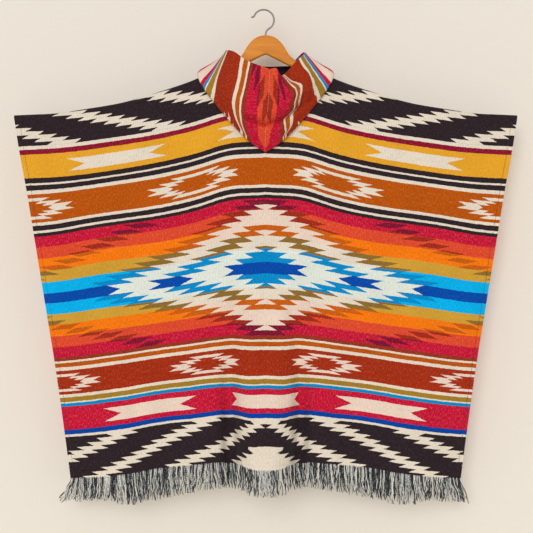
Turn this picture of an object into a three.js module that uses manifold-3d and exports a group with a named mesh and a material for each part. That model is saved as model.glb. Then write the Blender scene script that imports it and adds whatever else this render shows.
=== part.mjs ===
// A hooded blanket poncho on a wooden hanger, in millimetres.
// +Z is up and the wearer's back faces -Y. The origin is the inside top of the hook, where a rod carries it.
// The poncho is two panels sewn at the shoulders, a hood of two halves, and a fringe on each hem.
import * as THREE from "three";
import { mergeVertices } from "three/addons/utils/BufferGeometryUtils.js";
import Module from "manifold-3d";

const CLOTH = 2.5; // thickness of the blanket cloth
const SEAM_GAP = 0.3; // between two pieces that are sewn together
const MIDDLE_X = 5; // the garment's middle, beside the middle of the hook
const CORNER_REACH = 605; // from the garment's middle to a shoulder corner
const SHOULDER_BEND = 10; // radius of the cloth over the shoulder, at the middle of its thickness

const NECK = {
  reach: 105, // half the width of the neck hole
  backFlat: 6, // where the neck hole ends on the cloth's own length, at the middle of the back
  frontFlat: 10,
  roundness: 1.2, // how fast the hole opens away from its ends
};

// Lines of the cloth from the shoulders to the hem. `flat` is the length along the cut cloth from the shoulder
// corner, `drop` its depth below the origin at the side edge, `rise` how much higher it lies in the middle,
// `broad` how level that rise is, `reach` the half width, `out` the distance from the hanger's plane in the
// middle, before the folds, and `round` how level the cloth lies between the middle and the side edge.
const LINES = [
  { flat: 0, drop: 256, rise: 89, broad: 0, reach: 605, out: 16, round: 1.3 },
  { flat: 82, drop: 338, rise: 89, broad: 0, reach: 592, out: 30, round: 1.1 },
  { flat: 179, drop: 436, rise: 87, broad: 0, reach: 574, out: 33, round: 1.1 },
  { flat: 283, drop: 539, rise: 87, broad: 0, reach: 557, out: 36, round: 1.2 },
  { flat: 436, drop: 692, rise: 72, broad: 0.05, reach: 532, out: 40, round: 1.5 },
  { flat: 589, drop: 845, rise: 56, broad: 0.75, reach: 507, out: 43, round: 2 },
  { flat: 764, drop: 1020, rise: 50, broad: 1, reach: 482, out: 44, round: 3 },
  { flat: 870, drop: 1127, rise: 45, broad: 1, reach: 468, out: 44, round: 3 },
];
const HEM_FLAT = LINES.at(-1).flat;

// The share of a line's rise at each part of the way from the middle to the side edge.
const ARCH = [
  { at: 0, peaked: 1, broad: 1 },
  { at: 0.16, peaked: 0.89, broad: 1 },
  { at: 0.28, peaked: 0.7, broad: 0.93 },
  { at: 0.45, peaked: 0.455, broad: 0.7 },
  { at: 0.66, peaked: 0.24, broad: 0.38 },
  { at: 0.87, peaked: 0.06, broad: 0.11 },
  { at: 1, peaked: 0, broad: 0 },
];

// The top line of the shoulders, and of the hanger's arms under them.
const SHOULDER = [
  { reach: 0, drop: 80 },
  { reach: 105, drop: 135 },
  { reach: 165, drop: 165.5 },
  { reach: 241, drop: 195.5 },
  { reach: 340, drop: 225.5 },
  { reach: 436, drop: 242.5 },
  { reach: 505, drop: 252 },
  { reach: 605, drop: 257.5 },
];

// Folds that grow towards the hem: `at` and `width` are shares of the half width, `starts` is a length on the
// flat cloth, `depth` is the height at the hem, and `sag` how much lower the hem hangs there.
const BACK_FOLDS = [
  { name: "middle fold", at: 0, width: 0.165, starts: 330, depth: 42, sag: 15 },
  { name: "left valley", at: -0.175, width: 0.05, starts: 560, depth: -20, sag: 0 },
  { name: "right valley", at: 0.17, width: 0.05, starts: 560, depth: -18, sag: 0 },
  { name: "left ridge", at: -0.3, width: 0.1, starts: 420, depth: 5, sag: 0 },
  { name: "right ridge", at: 0.28, width: 0.1, starts: 420, depth: 6, sag: 0 },
  { name: "left trough", at: -0.52, width: 0.15, starts: 280, depth: -9, sag: -2 },
  { name: "right trough", at: 0.5, width: 0.16, starts: 260, depth: -8, sag: -2 },
  { name: "left side ridge", at: -0.76, width: 0.13, starts: 220, depth: 7, sag: 0 },
  { name: "right side ridge", at: 0.78, width: 0.12, starts: 260, depth: 6, sag: 0 },
];
const FRONT_FOLDS = [
  { name: "middle fold", at: 0.02, width: 0.2, starts: 280, depth: 24, sag: 8 },
  { name: "left valley", at: -0.23, width: 0.07, starts: 480, depth: -14, sag: 0 },
  { name: "right valley", at: 0.25, width: 0.06, starts: 520, depth: -16, sag: 0 },
  { name: "left ridge", at: -0.4, width: 0.12, starts: 360, depth: 6, sag: 0 },
  { name: "right trough", at: 0.56, width: 0.15, starts: 240, depth: -9, sag: -2 },
  { name: "left trough", at: -0.62, width: 0.13, starts: 300, depth: -8, sag: -2 },
  { name: "right side ridge", at: 0.8, width: 0.12, starts: 280, depth: 6, sag: 0 },
];

const BACK = { toward: -1, folds: BACK_FOLDS, neckFlat: NECK.backFlat };
const FRONT = { toward: 1, folds: FRONT_FOLDS, neckFlat: NECK.frontFlat };

const FRINGE = {
  thickness: 6,
  flare: 22, // how far a corner's yarns spread sideways
  flareFrom: 0.93, // the share of the half width where they start to spread
};
const FRINGE_REACH = [
  { at: 0, reach: 62 },
  { at: 0.21, reach: 60 },
  { at: 0.74, reach: 70 },
  { at: 0.82, reach: 57 },
  { at: 1, reach: 60 },
];

// The hood, by lines that run from the neck seam down to its fold and up again to its rim. `turn` is the place
// on the neck seam in degrees, 0 at the middle of the back and 180 at the middle of the front. The three
// points on each line have a `reach` from the seam's plane, an `out` towards the back and a `drop`; where the
// fold lies on the back panel, its `out` follows from the panel. `radius` is the fold's own.
const HOOD_LINES = [
  {
    turn: 0,
    radius: 7,
    fold: { reach: 0, out: 20, drop: 334 },
    belly: { reach: 0, out: 84, drop: 240 },
    rim: { reach: 0, out: 74, drop: 143 },
  },
  {
    turn: 30,
    radius: 7,
    fold: { reach: 46, out: 20, drop: 305 },
    belly: { reach: 68, out: 76, drop: 222 },
    rim: { reach: 46, out: 68, drop: 124 },
  },
  {
    turn: 50,
    radius: 7,
    fold: { reach: 86, out: 20, drop: 262 },
    belly: { reach: 96, out: 64, drop: 200 },
    rim: { reach: 72, out: 56, drop: 104 },
  },
  {
    turn: 66,
    radius: 6,
    fold: { reach: 120, out: 20, drop: 220 },
    belly: { reach: 112, out: 46, drop: 170 },
    rim: { reach: 88, out: 42, drop: 98 },
  },
  {
    turn: 80,
    radius: 5,
    fold: { reach: 145, out: 20, drop: 186 },
    belly: { reach: 124, out: 26, drop: 150 },
    rim: { reach: 94, out: 26, drop: 98 },
  },
  {
    turn: 95,
    radius: 4,
    fold: { reach: 160, out: 8, drop: 154 },
    belly: { reach: 128, out: 6, drop: 129 },
    rim: { reach: 92, out: 8, drop: 100 },
  },
  {
    turn: 108,
    radius: 4,
    fold: { reach: 145, out: -8, drop: 143 },
    belly: { reach: 122, out: -8, drop: 125 },
    rim: { reach: 86, out: -3, drop: 103 },
  },
  {
    turn: 125,
    radius: 4,
    fold: { reach: 118, out: -27, drop: 142 },
    belly: { reach: 106, out: -24, drop: 126 },
    rim: { reach: 76, out: -14, drop: 107 },
  },
  {
    turn: 180,
    radius: 4,
    fold: { reach: 0, out: -44, drop: 156 },
    belly: { reach: 0, out: -40, drop: 146 },
    rim: { reach: 0, out: -30, drop: 137 },
  },
];
const HOOD = {
  clear: 1.7, // between the hood and the panel under it
  turnDepth: 4.4, // how far the cloth stands past the neck seam where it turns over
  turnHeight: 6.8, // how far out from the seam it then lies
};

const HANGER = {
  thickness: 12,
  rounding: 5,
  headTop: 60, // depth of the head's top below the origin
  headReach: 55,
  notchTop: 105, // the inside corner under the head
  armSlope: 0.51, // of the arms' lower edge
  armReach: 222,
  tipDepth: 13,
  clear: 0.5, // between an arm and the cloth that lies on it
};
const HOOK = {
  insideRadius: 23,
  wire: 2, // radius of the wire
  shankDepth: 24, // how far it is screwed into the hanger
  tipFrom: 160, // degrees from +X round to where the tip bends out
  tipTo: -40, // and to where the arc ends and runs into the shank
};

// Shares of the half width where the panels have their columns, inside the neck hole and outside it.
const NECK_END = NECK.reach / CORNER_REACH;
const NECK_COLUMNS = [0.04, 0.075, 0.1, 0.12, 0.138, 0.152, 0.163, 0.17, 0.1729];
const SIDE_COLUMNS = [0.19, 0.215, 0.25, 0.29, 0.34, 0.4, 0.47, 0.54, 0.61, 0.68, 0.76, 0.84, 0.92, 1];
const RAD = Math.PI / 180;

/** A smooth curve through (xs, ys), straight beyond its ends. */
function along(xs, ys, x) {
  const last = xs.length - 1;
  const slope = (i) => (ys[i + 1] - ys[i]) / (xs[i + 1] - xs[i]);
  if (x <= xs[0]) return ys[0] + slope(0) * (x - xs[0]);
  if (x >= xs[last]) return ys[last] + slope(last - 1) * (x - xs[last]);
  let i = 0;
  while (xs[i + 1] < x) i += 1;
  const tangent = (k) => (k === 0 ? slope(0) : k === last ? slope(last - 1) : (slope(k - 1) + slope(k)) / 2);
  const h = xs[i + 1] - xs[i];
  const t = (x - xs[i]) / h;
  return (
    ys[i] * (2 * t ** 3 - 3 * t ** 2 + 1) +
    ys[i + 1] * (3 * t ** 2 - 2 * t ** 3) +
    h * tangent(i) * (t ** 3 - 2 * t ** 2 + t) +
    h * tangent(i + 1) * (t ** 3 - t ** 2)
  );
}

/** One column of a table, read at a value of another of its columns. */
const read = (table, by, column, value) =>
  along(
    table.map((row) => row[by]),
    table.map((row) => row[column]),
    value,
  );

const line = (column, flat) => read(LINES, "flat", column, flat);
const shoulderDrop = (reach) => read(SHOULDER, "reach", "drop", Math.abs(reach));
const smooth = (t) => THREE.MathUtils.smoothstep(t, 0, 1);

/** The height of a fold, from 0 to 1, at a place on the cloth. */
function foldHeight(fold, across, flat) {
  const d = Math.min(1, Math.abs(across - fold.at) / fold.width);
  return (1 - d ** 3) ** 2 * smooth((flat - fold.starts) / (HEM_FLAT - fold.starts)) ** 1.5;
}

/** Depth below the origin of the hanging cloth. */
function dropOf(panel, across, flat) {
  const level = line("broad", flat);
  const share = (column) => read(ARCH, "at", column, Math.abs(across));
  const arch = share("peaked") * (1 - level) + share("broad") * level;
  const sag = panel.folds.reduce((sum, fold) => sum + fold.sag * foldHeight(fold, across, flat), 0);
  return line("drop", flat) - line("rise", flat) * arch + sag;
}

/** Where the cloth leaves the bend over the shoulder, as a length on the flat cloth. */
function bendEnd(panel, across) {
  const wanted = shoulderDrop(across * CORNER_REACH) + SHOULDER_BEND;
  let [low, high] = [-120, 120];
  for (let i = 0; i < 30; i += 1) {
    const middle = (low + high) / 2;
    if (dropOf(panel, across, middle) < wanted) low = middle;
    else high = middle;
  }
  return (low + high) / 2;
}

/** Distance of the hanging cloth from the hanger's plane. */
function outOf(panel, across, flat) {
  const least = SEAM_GAP / 2 + SHOULDER_BEND;
  const level = 1 - Math.abs(across) ** Math.max(1, line("round", flat));
  const grown = smooth((flat - bendEnd(panel, across)) / 110);
  const folds = panel.folds.reduce((sum, fold) => sum + fold.depth * foldHeight(fold, across, flat), 0);
  return least + (line("out", flat) - least) * level * grown + folds;
}

/** A point on the middle surface of a panel. */
function panelPoint(panel, across, flat) {
  const end = bendEnd(panel, across);
  const reach = line("reach", Math.max(0, flat));
  if (flat >= end)
    return new THREE.Vector3(across * reach, panel.toward * outOf(panel, across, flat), -dropOf(panel, across, flat));
  const angle = Math.PI / 2 - (end - flat) / SHOULDER_BEND;
  return new THREE.Vector3(
    across * reach,
    panel.toward * (SEAM_GAP / 2 + SHOULDER_BEND * Math.sin(angle)),
    -shoulderDrop(across * CORNER_REACH) - SHOULDER_BEND * (1 - Math.cos(angle)),
  );
}

/** Where the panel's upper edge lies on the flat cloth: along the shoulder, and lower round the neck. */
function topFlat(panel, across) {
  const shoulder = bendEnd(panel, across) - (SHOULDER_BEND * Math.PI) / 2;
  const share = Math.min(1, Math.abs(across) / NECK_END);
  const open = Math.sqrt(1 - share ** 2) ** NECK.roundness;
  return THREE.MathUtils.lerp(shoulder, panel.neckFlat, open);
}

/** Columns of a panel from side to side: closer together round the neck's ends and the middle fold's valleys. */
function columns() {
  const half = [...NECK_COLUMNS, NECK_END, ...SIDE_COLUMNS];
  return [...half.map((across) => -across).reverse(), 0, ...half];
}

/** Normals of a grid of points, by its neighbours. */
function gridNormals(grid) {
  return grid.map((row, i) =>
    row.map((_, j) => {
      const at = (k, l) => {
        const line = grid[THREE.MathUtils.clamp(k, 0, grid.length - 1)];
        return line[THREE.MathUtils.clamp(l, 0, row.length - 1)];
      };
      const down = at(i + 1, j).clone().sub(at(i - 1, j));
      const sideways = at(i, j + 1).clone().sub(at(i, j - 1));
      return sideways.cross(down).normalize();
    }),
  );
}

/** A closed wall from a grid of middle points: the two faces, then the strip all round their edge. */
function wallGeometry(grid, normals, thickness) {
  const [rows, cols] = [grid.length, grid[0].length];
  const positions = [];
  for (const side of [1, -1])
    grid.forEach((row, i) =>
      row.forEach((point, j) => {
        const moved = point.clone().addScaledVector(normals[i][j], (side * thickness) / 2);
        positions.push(moved.x, moved.y, moved.z);
      }),
    );
  const id = (side, i, j) => side * rows * cols + i * cols + j;
  const index = [];
  for (let i = 0; i + 1 < rows; i += 1)
    for (let j = 0; j + 1 < cols; j += 1) {
      const corners = [id(0, i, j), id(0, i + 1, j), id(0, i + 1, j + 1), id(0, i, j + 1)];
      const [a, b, c, d] = corners;
      index.push(a, c, b, a, d, c);
      const [e, f, g, h] = corners.map((k) => k + rows * cols);
      index.push(e, f, g, e, g, h);
    }
  const rim = [];
  for (let j = 0; j + 1 < cols; j += 1) rim.push([0, j]);
  for (let i = 0; i + 1 < rows; i += 1) rim.push([i, cols - 1]);
  for (let j = cols - 1; j > 0; j -= 1) rim.push([rows - 1, j]);
  for (let i = rows - 1; i > 0; i -= 1) rim.push([i, 0]);
  rim.forEach(([i, j], k) => {
    const [ni, nj] = rim[(k + 1) % rim.length];
    index.push(id(0, i, j), id(1, i, j), id(1, ni, nj), id(0, i, j), id(1, ni, nj), id(0, ni, nj));
  });
  return new THREE.BufferGeometry()
    .setAttribute("position", new THREE.Float32BufferAttribute(positions, 3))
    .setIndex(index);
}

/** The geometry with its faces turned outwards, judged by its signed volume. */
function facingOut(geometry) {
  const position = geometry.getAttribute("position");
  const index = geometry.index.array;
  const corner = (k) => new THREE.Vector3().fromBufferAttribute(position, index[k]);
  let volume = 0;
  for (let k = 0; k < index.length; k += 3) volume += corner(k).dot(corner(k + 1).cross(corner(k + 2)));
  if (volume < 0)
    for (let k = 0; k < index.length; k += 3) [index[k + 1], index[k + 2]] = [index[k + 2], index[k + 1]];
  return geometry;
}

/** The grid of a panel's middle surface, from its upper edge to the hem, and its normals. */
function panelGrid(panel) {
  const bendSteps = 4;
  const below = [60, 118, 179, 283, 400, 500, 600, 690, 775, HEM_FLAT];
  const grid = Array.from({ length: bendSteps + 2 + below.length }, () => []);
  for (const across of columns()) {
    const top = topFlat(panel, across);
    const end = Math.max(bendEnd(panel, across), top + 12);
    const flats = Array.from({ length: bendSteps + 1 }, (_, k) => THREE.MathUtils.lerp(top, end, k / bendSteps));
    flats.push((end + below[0]) / 2, ...below);
    flats.forEach((flat, k) => grid[k].push(panelPoint(panel, across, flat)));
  }
  const normals = gridNormals(grid);
  for (const normal of normals[0]) if (Math.abs(normal.z) > 0.8) normal.setY(0).normalize();
  return { grid, normals };
}

/** The fringe on a panel's hem: a wall that carries on from the hem's points. */
function fringeGeometry({ grid, normals }) {
  const hem = grid.at(-1);
  const above = grid.at(-2);
  const across = columns();
  const hemNormals = normals.at(-1);
  const shares = [0, 1];
  const rows = shares.map((share) =>
    hem.map((point, j) => {
      const down = point.clone().sub(above[j]).setX(0).normalize();
      down.addScaledVector(hemNormals[j], -down.dot(hemNormals[j])).normalize();
      const reach = read(FRINGE_REACH, "at", "reach", Math.abs(across[j]));
      const spread = smooth((Math.abs(across[j]) - FRINGE.flareFrom) / (1 - FRINGE.flareFrom)) * share;
      return point
        .clone()
        .addScaledVector(down, SEAM_GAP + share * reach)
        .add(new THREE.Vector3(Math.sign(across[j]) * spread * FRINGE.flare, 0, 0));
    }),
  );
  return wallGeometry(
    rows,
    rows.map(() => hemNormals),
    FRINGE.thickness,
  );
}

/** Distance of a panel's cloth from the hanger's plane, at a place given by its reach and drop. */
function outAt(panel, reach, drop) {
  let [low, high] = [-120, HEM_FLAT];
  for (let i = 0; i < 30; i += 1) {
    const middle = (low + high) / 2;
    if (dropOf(panel, reach / line("reach", Math.max(0, middle)), middle) < drop) low = middle;
    else high = middle;
  }
  return outOf(panel, reach / line("reach", Math.max(0, low)), low);
}

/** A point moved off the panels until cloth through it, or round it at a radius, clears them. */
function clearOfPanels(point, radius = 0) {
  const need = CLOTH + HOOD.clear + radius;
  const bendCentre = -shoulderDrop(point.x) - SHOULDER_BEND;
  const moved = point.clone();
  const height = point.z - bendCentre;
  if (height < 0) {
    const panel = point.y < 0 ? BACK : FRONT;
    moved.y = panel.toward * Math.max(Math.abs(point.y), outAt(panel, point.x, -point.z) + need);
    return moved;
  }
  const scale = Math.max(1, (SHOULDER_BEND + need) / Math.hypot(point.y, height));
  return moved.set(point.x, point.y * scale, bendCentre + height * scale);
}

/** The neck seam at a turn in degrees: its point, the direction out of the cloth, and the one into the hole. */
function neckSeam(turn) {
  const placeAt = (degrees) => {
    const panel = degrees < 90 ? BACK : FRONT;
    const across = NECK_END * Math.sin(degrees * RAD);
    return { panel, across, flat: topFlat(panel, across) };
  };
  const pointAt = (degrees) => {
    const { panel, across, flat } = placeAt(degrees);
    return panelPoint(panel, across, flat);
  };
  const point = pointAt(turn);
  const { panel, across, flat } = placeAt(turn);
  const sideways = panelPoint(panel, across + 0.002, flat).sub(panelPoint(panel, across - 0.002, flat));
  const deeper = panelPoint(panel, across, flat + 1).sub(panelPoint(panel, across, flat));
  const out = sideways.cross(deeper).normalize();
  if (out.dot(new THREE.Vector3(0, panel.toward, 1)) < 0) out.negate();
  const edge = pointAt(Math.min(180, turn + 1)).sub(pointAt(Math.max(0, turn - 1)));
  const into = out.clone().cross(edge).normalize();
  if (into.dot(new THREE.Vector3(0, 0, -HANGER.notchTop).sub(point)) < 0) into.negate();
  return { point, out, into };
}

/** One line of the hood, from the neck seam to the rim, as points. */
function hoodLine(turn) {
  const place = (name) => {
    const value = (column) =>
      along(
        HOOD_LINES.map((row) => row.turn),
        HOOD_LINES.map((row) => row[name][column]),
        turn,
      );
    return new THREE.Vector3(value("reach"), -value("out"), -value("drop"));
  };
  const { point, out, into } = neckSeam(turn);
  const seam = (inward, outward) => point.clone().addScaledVector(into, inward).addScaledVector(out, outward);
  const { turnDepth: depth, turnHeight: height } = HOOD;
  const over = seam(-0.5, height);
  const radius = read(HOOD_LINES, "turn", "radius", turn);
  const fold = turn < 110 ? clearOfPanels(place("fold"), radius) : place("fold");
  const [belly, rim] = [place("belly"), place("rim")];
  const ahead = fold.clone().sub(over.clone().add(rim).divideScalar(2)).normalize();
  const apart = rim.clone().sub(over);
  apart.addScaledVector(ahead, -apart.dot(ahead)).normalize();
  const under = fold.clone().addScaledVector(apart, -radius);
  const keys = [
    seam(SEAM_GAP + 0.1, 0),
    seam(0.4 * depth, 0),
    seam(depth, height / 2),
    seam(0.6 * depth, 0.92 * height),
    over,
    clearOfPanels(over.clone().lerp(under, 0.33)),
    clearOfPanels(over.clone().lerp(under, 0.67)),
    clearOfPanels(under),
    clearOfPanels(fold.clone().addScaledVector(ahead, radius)),
    fold.clone().addScaledVector(apart, radius),
    belly,
    rim,
  ];
  const steps = [1, 1, 1, 1, 1, 1, 1, 1, 1, 3, 3];
  const curve = new THREE.CatmullRomCurve3(keys);
  const points = [];
  steps.forEach((count, k) => {
    for (let i = 0; i < count; i += 1) points.push(curve.getPoint((k + i / count) / steps.length));
  });
  return [...points, rim];
}

/** One half of the hood: +1 lies towards +X, -1 towards -X. */
function hoodGeometry(side) {
  const backTurns = [0, ...NECK_COLUMNS].map((across) => Math.asin(across / NECK_END) / RAD);
  const turns = [...backTurns, 90, ...backTurns.map((turn) => 180 - turn).reverse()];
  const lines = turns.map(hoodLine);
  const grid = lines[0].map((_, i) => lines.map((points) => points[i].clone()));
  for (const row of grid)
    row.forEach((point, j) => {
      const atSeam = j === 0 || j === row.length - 1;
      point.x = side * (atSeam ? SEAM_GAP / 2 : point.x);
    });
  const normals = gridNormals(grid);
  for (const row of normals) for (const normal of [row[0], row.at(-1)]) normal.setX(0).normalize();
  return wallGeometry(grid, normals, CLOTH);
}

/** Outline of the hanger seen from the back: a round head, an inside notch, and two arms. */
function hangerShape() {
  const inset = HANGER.rounding;
  const slant = (reach) => Math.hypot(1, shoulderDrop(reach + 1) - shoulderDrop(reach));
  const armTop = (reach) => -shoulderDrop(reach) - (CLOTH / 2 + HANGER.clear + inset) * slant(reach);
  const lower = (reach) => -HANGER.notchTop - HANGER.armSlope * reach + inset;
  const { headTop, headReach, armReach, tipDepth, notchTop } = HANGER;
  const half = [];
  const head = new THREE.CubicBezierCurve(
    new THREE.Vector2(0, -headTop - inset),
    new THREE.Vector2(0.55 * headReach, -headTop - inset),
    new THREE.Vector2(0.72 * headReach, -headTop - inset - 22),
    new THREE.Vector2(headReach - inset, -headTop - inset - 42),
  );
  half.push(...head.getPoints(7).slice(0, -1));
  const flank = new THREE.QuadraticBezierCurve(
    head.v3,
    new THREE.Vector2(headReach + 4, -headTop - inset - 58),
    new THREE.Vector2(NECK.reach + 8, armTop(NECK.reach + 8)),
  );
  half.push(...flank.getPoints(4));
  for (const reach of [125, 145, 165, 190, armReach - 8]) half.push(new THREE.Vector2(reach, armTop(reach)));
  const tip = new THREE.Vector2(armReach - inset, armTop(armReach) - 2);
  half.push(tip, new THREE.Vector2(armReach - inset - 1, tip.y - tipDepth / 3));
  half.push(new THREE.Vector2(armReach - 14, armTop(armReach - 14) - tipDepth + inset));
  half.push(new THREE.Vector2(165, lower(165)), new THREE.Vector2(40, lower(40)));
  half.push(new THREE.Vector2(8, lower(8)));
  const mirrored = half
    .slice(1)
    .reverse()
    .map((point) => new THREE.Vector2(-point.x, point.y));
  return new THREE.Shape([...half, new THREE.Vector2(0, -notchTop + inset - 1), ...mirrored]);
}

/** The wooden hanger, with the hole for the hook's shank. */
function hangerGeometry(wasm) {
  const flat = HANGER.thickness - 2 * HANGER.rounding;
  const wood = new THREE.ExtrudeGeometry(hangerShape(), {
    depth: flat,
    bevelThickness: HANGER.rounding,
    bevelSize: HANGER.rounding,
    bevelSegments: 3,
  });
  wood.translate(0, 0, -flat / 2);
  wood.rotateX(Math.PI / 2);
  const length = HOOK.shankDepth + 6;
  const drill = new THREE.CylinderGeometry(HOOK.wire + SEAM_GAP, HOOK.wire + SEAM_GAP, length, 12);
  drill.rotateX(Math.PI / 2);
  drill.translate(0, 0, -HANGER.headTop - HOOK.shankDepth - SEAM_GAP + length / 2);
  return cut(wasm, wood, drill);
}

/** One closed geometry less another. */
function cut(wasm, geometry, tool) {
  const solid = (source) => {
    const plain = source.clone();
    plain.deleteAttribute("normal");
    plain.deleteAttribute("uv");
    const merged = mergeVertices(plain, 1e-3);
    return new wasm.Manifold(
      new wasm.Mesh({
        numProp: 3,
        vertProperties: new Float32Array(merged.attributes.position.array),
        triVerts: new Uint32Array(merged.index.array),
      }),
    );
  };
  const mesh = solid(geometry).subtract(solid(tool)).getMesh();
  return new THREE.BufferGeometry()
    .setAttribute("position", new THREE.BufferAttribute(new Float32Array(mesh.vertProperties), 3))
    .setIndex(new THREE.BufferAttribute(new Uint32Array(mesh.triVerts), 1));
}

/** The hook: an arc that ends in a bent-out tip, and a shank that runs down into the wood. */
function hookGeometry() {
  const radius = HOOK.insideRadius + HOOK.wire;
  const centre = -HOOK.insideRadius;
  const points = [new THREE.Vector3(-radius - 5, 0, centre + 6)];
  for (let angle = HOOK.tipFrom; angle >= HOOK.tipTo; angle -= 20)
    points.push(new THREE.Vector3(radius * Math.cos(angle * RAD), 0, centre + radius * Math.sin(angle * RAD)));
  points.push(new THREE.Vector3(MIDDLE_X + 4, 0, -47));
  for (const share of [-0.2, 0, 0.3, 0.6, 1])
    points.push(new THREE.Vector3(MIDDLE_X, 0, -HANGER.headTop - share * HOOK.shankDepth));
  const section = new THREE.Shape();
  section.absarc(0, 0, HOOK.wire, 0, 2 * Math.PI);
  return new THREE.ExtrudeGeometry(section, {
    steps: 44,
    curveSegments: 4,
    extrudePath: new THREE.CatmullRomCurve3(points),
  });
}

/** A named mesh, whose place is the garment's middle unless it is told otherwise. */
function piece(name, geometry, look, x = MIDDLE_X) {
  const mesh = new THREE.Mesh(geometry, new THREE.MeshStandardMaterial(look));
  mesh.name = name;
  mesh.position.x = x;
  return mesh;
}

const wasm = await Module();
wasm.setup();

const BLANKET = { color: 0xa8432a, roughness: 0.95, metalness: 0 };
const HOOD_CLOTH = { color: 0xa53212, roughness: 0.95, metalness: 0 };
const YARN = { color: 0x8f9a9c, roughness: 0.95, metalness: 0 };

const root = new THREE.Group();
for (const [name, panel] of [
  ["back", BACK],
  ["front", FRONT],
]) {
  const surface = panelGrid(panel);
  const cloth = facingOut(wallGeometry(surface.grid, surface.normals, CLOTH));
  root.add(piece(name + "_panel", cloth, BLANKET));
  root.add(piece(name + "_fringe", facingOut(fringeGeometry(surface)), YARN));
}
root.add(piece("hood_left", facingOut(hoodGeometry(-1)), HOOD_CLOTH));
root.add(piece("hood_right", facingOut(hoodGeometry(1)), HOOD_CLOTH));
root.add(piece("hanger_wood", hangerGeometry(wasm), { color: 0xd98c3e, roughness: 0.4, metalness: 0 }));
root.add(piece("hanger_hook", hookGeometry(), { color: 0x7a7674, roughness: 0.3, metalness: 1 }, 0));

export default root;
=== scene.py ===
"""A hooded blanket poncho with a yarn fringe, hung flat on a wooden hanger with a wire hook.

The tables and the garment's own sizes are in millimetres, +Z is up and the wearer's back faces -Y. Meshes are
made in metres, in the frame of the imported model, whose origin is the inside top of the hook.
"""

import logging
import math
from collections.abc import Mapping, Sequence
from dataclasses import dataclass, field
from enum import Enum
from typing import NamedTuple

import bpy
import numpy as np
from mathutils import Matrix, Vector


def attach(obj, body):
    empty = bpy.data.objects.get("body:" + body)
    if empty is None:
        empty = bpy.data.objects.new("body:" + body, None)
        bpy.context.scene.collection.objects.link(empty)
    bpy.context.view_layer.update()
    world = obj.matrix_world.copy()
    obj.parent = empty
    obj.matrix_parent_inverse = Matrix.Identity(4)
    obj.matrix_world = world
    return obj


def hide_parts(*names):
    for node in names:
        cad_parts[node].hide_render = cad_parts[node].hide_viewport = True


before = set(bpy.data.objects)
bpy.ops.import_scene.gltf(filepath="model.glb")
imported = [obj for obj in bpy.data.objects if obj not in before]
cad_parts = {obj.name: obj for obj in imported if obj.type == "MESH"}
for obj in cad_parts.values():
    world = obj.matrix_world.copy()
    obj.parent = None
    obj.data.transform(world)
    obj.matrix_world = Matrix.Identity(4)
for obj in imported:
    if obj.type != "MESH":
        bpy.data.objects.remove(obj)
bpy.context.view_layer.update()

LOG = logging.getLogger("poncho")
MM = 0.001  # metres in a millimetre
Array = np.ndarray

CLOTH = 2.5  # thickness of the blanket cloth
SEAM_GAP = 0.3  # between two pieces that are sewn together
MIDDLE_X = 5.0  # the garment's middle, beside the middle of the hook
CORNER_REACH = 605.0  # from the garment's middle to a shoulder corner
SHOULDER_BEND = 10.0  # radius of the cloth over the shoulder
NECK_REACH = 105.0  # half the width of the neck hole
NECK_ROUNDNESS = 1.2  # how fast the neck hole opens away from its ends
NECK_END = NECK_REACH / CORNER_REACH
WEAVE_REACH = 532.0  # the half width that the woven pattern is measured on
LIFT = 3.5  # how far the cloth's top line stands off the hanger beyond its arms
LIFT_STARTS, LIFT_GROWS = 150.0, 120.0  # the reach where it starts to, and over which it grows
SEARCH_STEPS = 30  # halvings when a length on the cloth is looked up by its depth
SEARCH_REACH = 120.0  # how far above and below the shoulder it is looked for
BEND_FADE = 60.0  # length below the shoulder's bend over which creases grow
OUT_GROWS = 110.0  # length below it over which the cloth comes out from the hanger's plane


# ----- Curves through short tables -----


def along(xs: Array, ys: Array, x: Array | float) -> Array:
    """Read a smooth curve that runs straight on beyond its ends.

    Args:
        xs: The known places, rising.
        ys: The value at each place.
        x: Where to read the curve.

    Returns:
        The curve's value at each x.
    """
    x = np.asarray(x, float)
    slopes = np.diff(ys) / np.diff(xs)
    tangents = np.concatenate([slopes[:1], (slopes[:-1] + slopes[1:]) / 2, slopes[-1:]])
    i = np.clip(np.searchsorted(xs, x, side="right") - 1, 0, len(xs) - 2)
    h = xs[i + 1] - xs[i]
    t = np.clip((x - xs[i]) / h, 0, 1)
    inside = (
        ys[i] * (2 * t**3 - 3 * t**2 + 1)
        + ys[i + 1] * (3 * t**2 - 2 * t**3)
        + h * tangents[i] * (t**3 - 2 * t**2 + t)
        + h * tangents[i + 1] * (t**3 - t**2)
    )
    before = slopes[0] * np.minimum(0, x - xs[0])
    after = slopes[-1] * np.maximum(0, x - xs[-1])
    return inside + before + after


def smooth(t: Array | float) -> Array:
    """Rise from 0 to 1 with level ends."""
    t = np.clip(t, 0, 1)
    return t * t * (3 - 2 * t)


def shoulder(reach: Array | float) -> Array:
    """Give the depth of the cloth's top line, which stands off the hanger beyond its arms."""
    grown = smooth((np.asarray(reach) - LIFT_STARTS) / LIFT_GROWS)
    return SHOULDER.read("reach", "drop", reach) - LIFT * grown


class Table:
    """Rows of numbers under named columns."""

    def __init__(self, names: str, *rows: tuple[float, ...]) -> None:
        """Keep the rows by their columns' names."""
        self.columns = dict(zip(names.split(), np.array(rows, float).T))

    def read(self, by: str, name: str, value: Array | float) -> Array:
        """Read one column at values of another."""
        return along(self.columns[by], self.columns[name], value)


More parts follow.
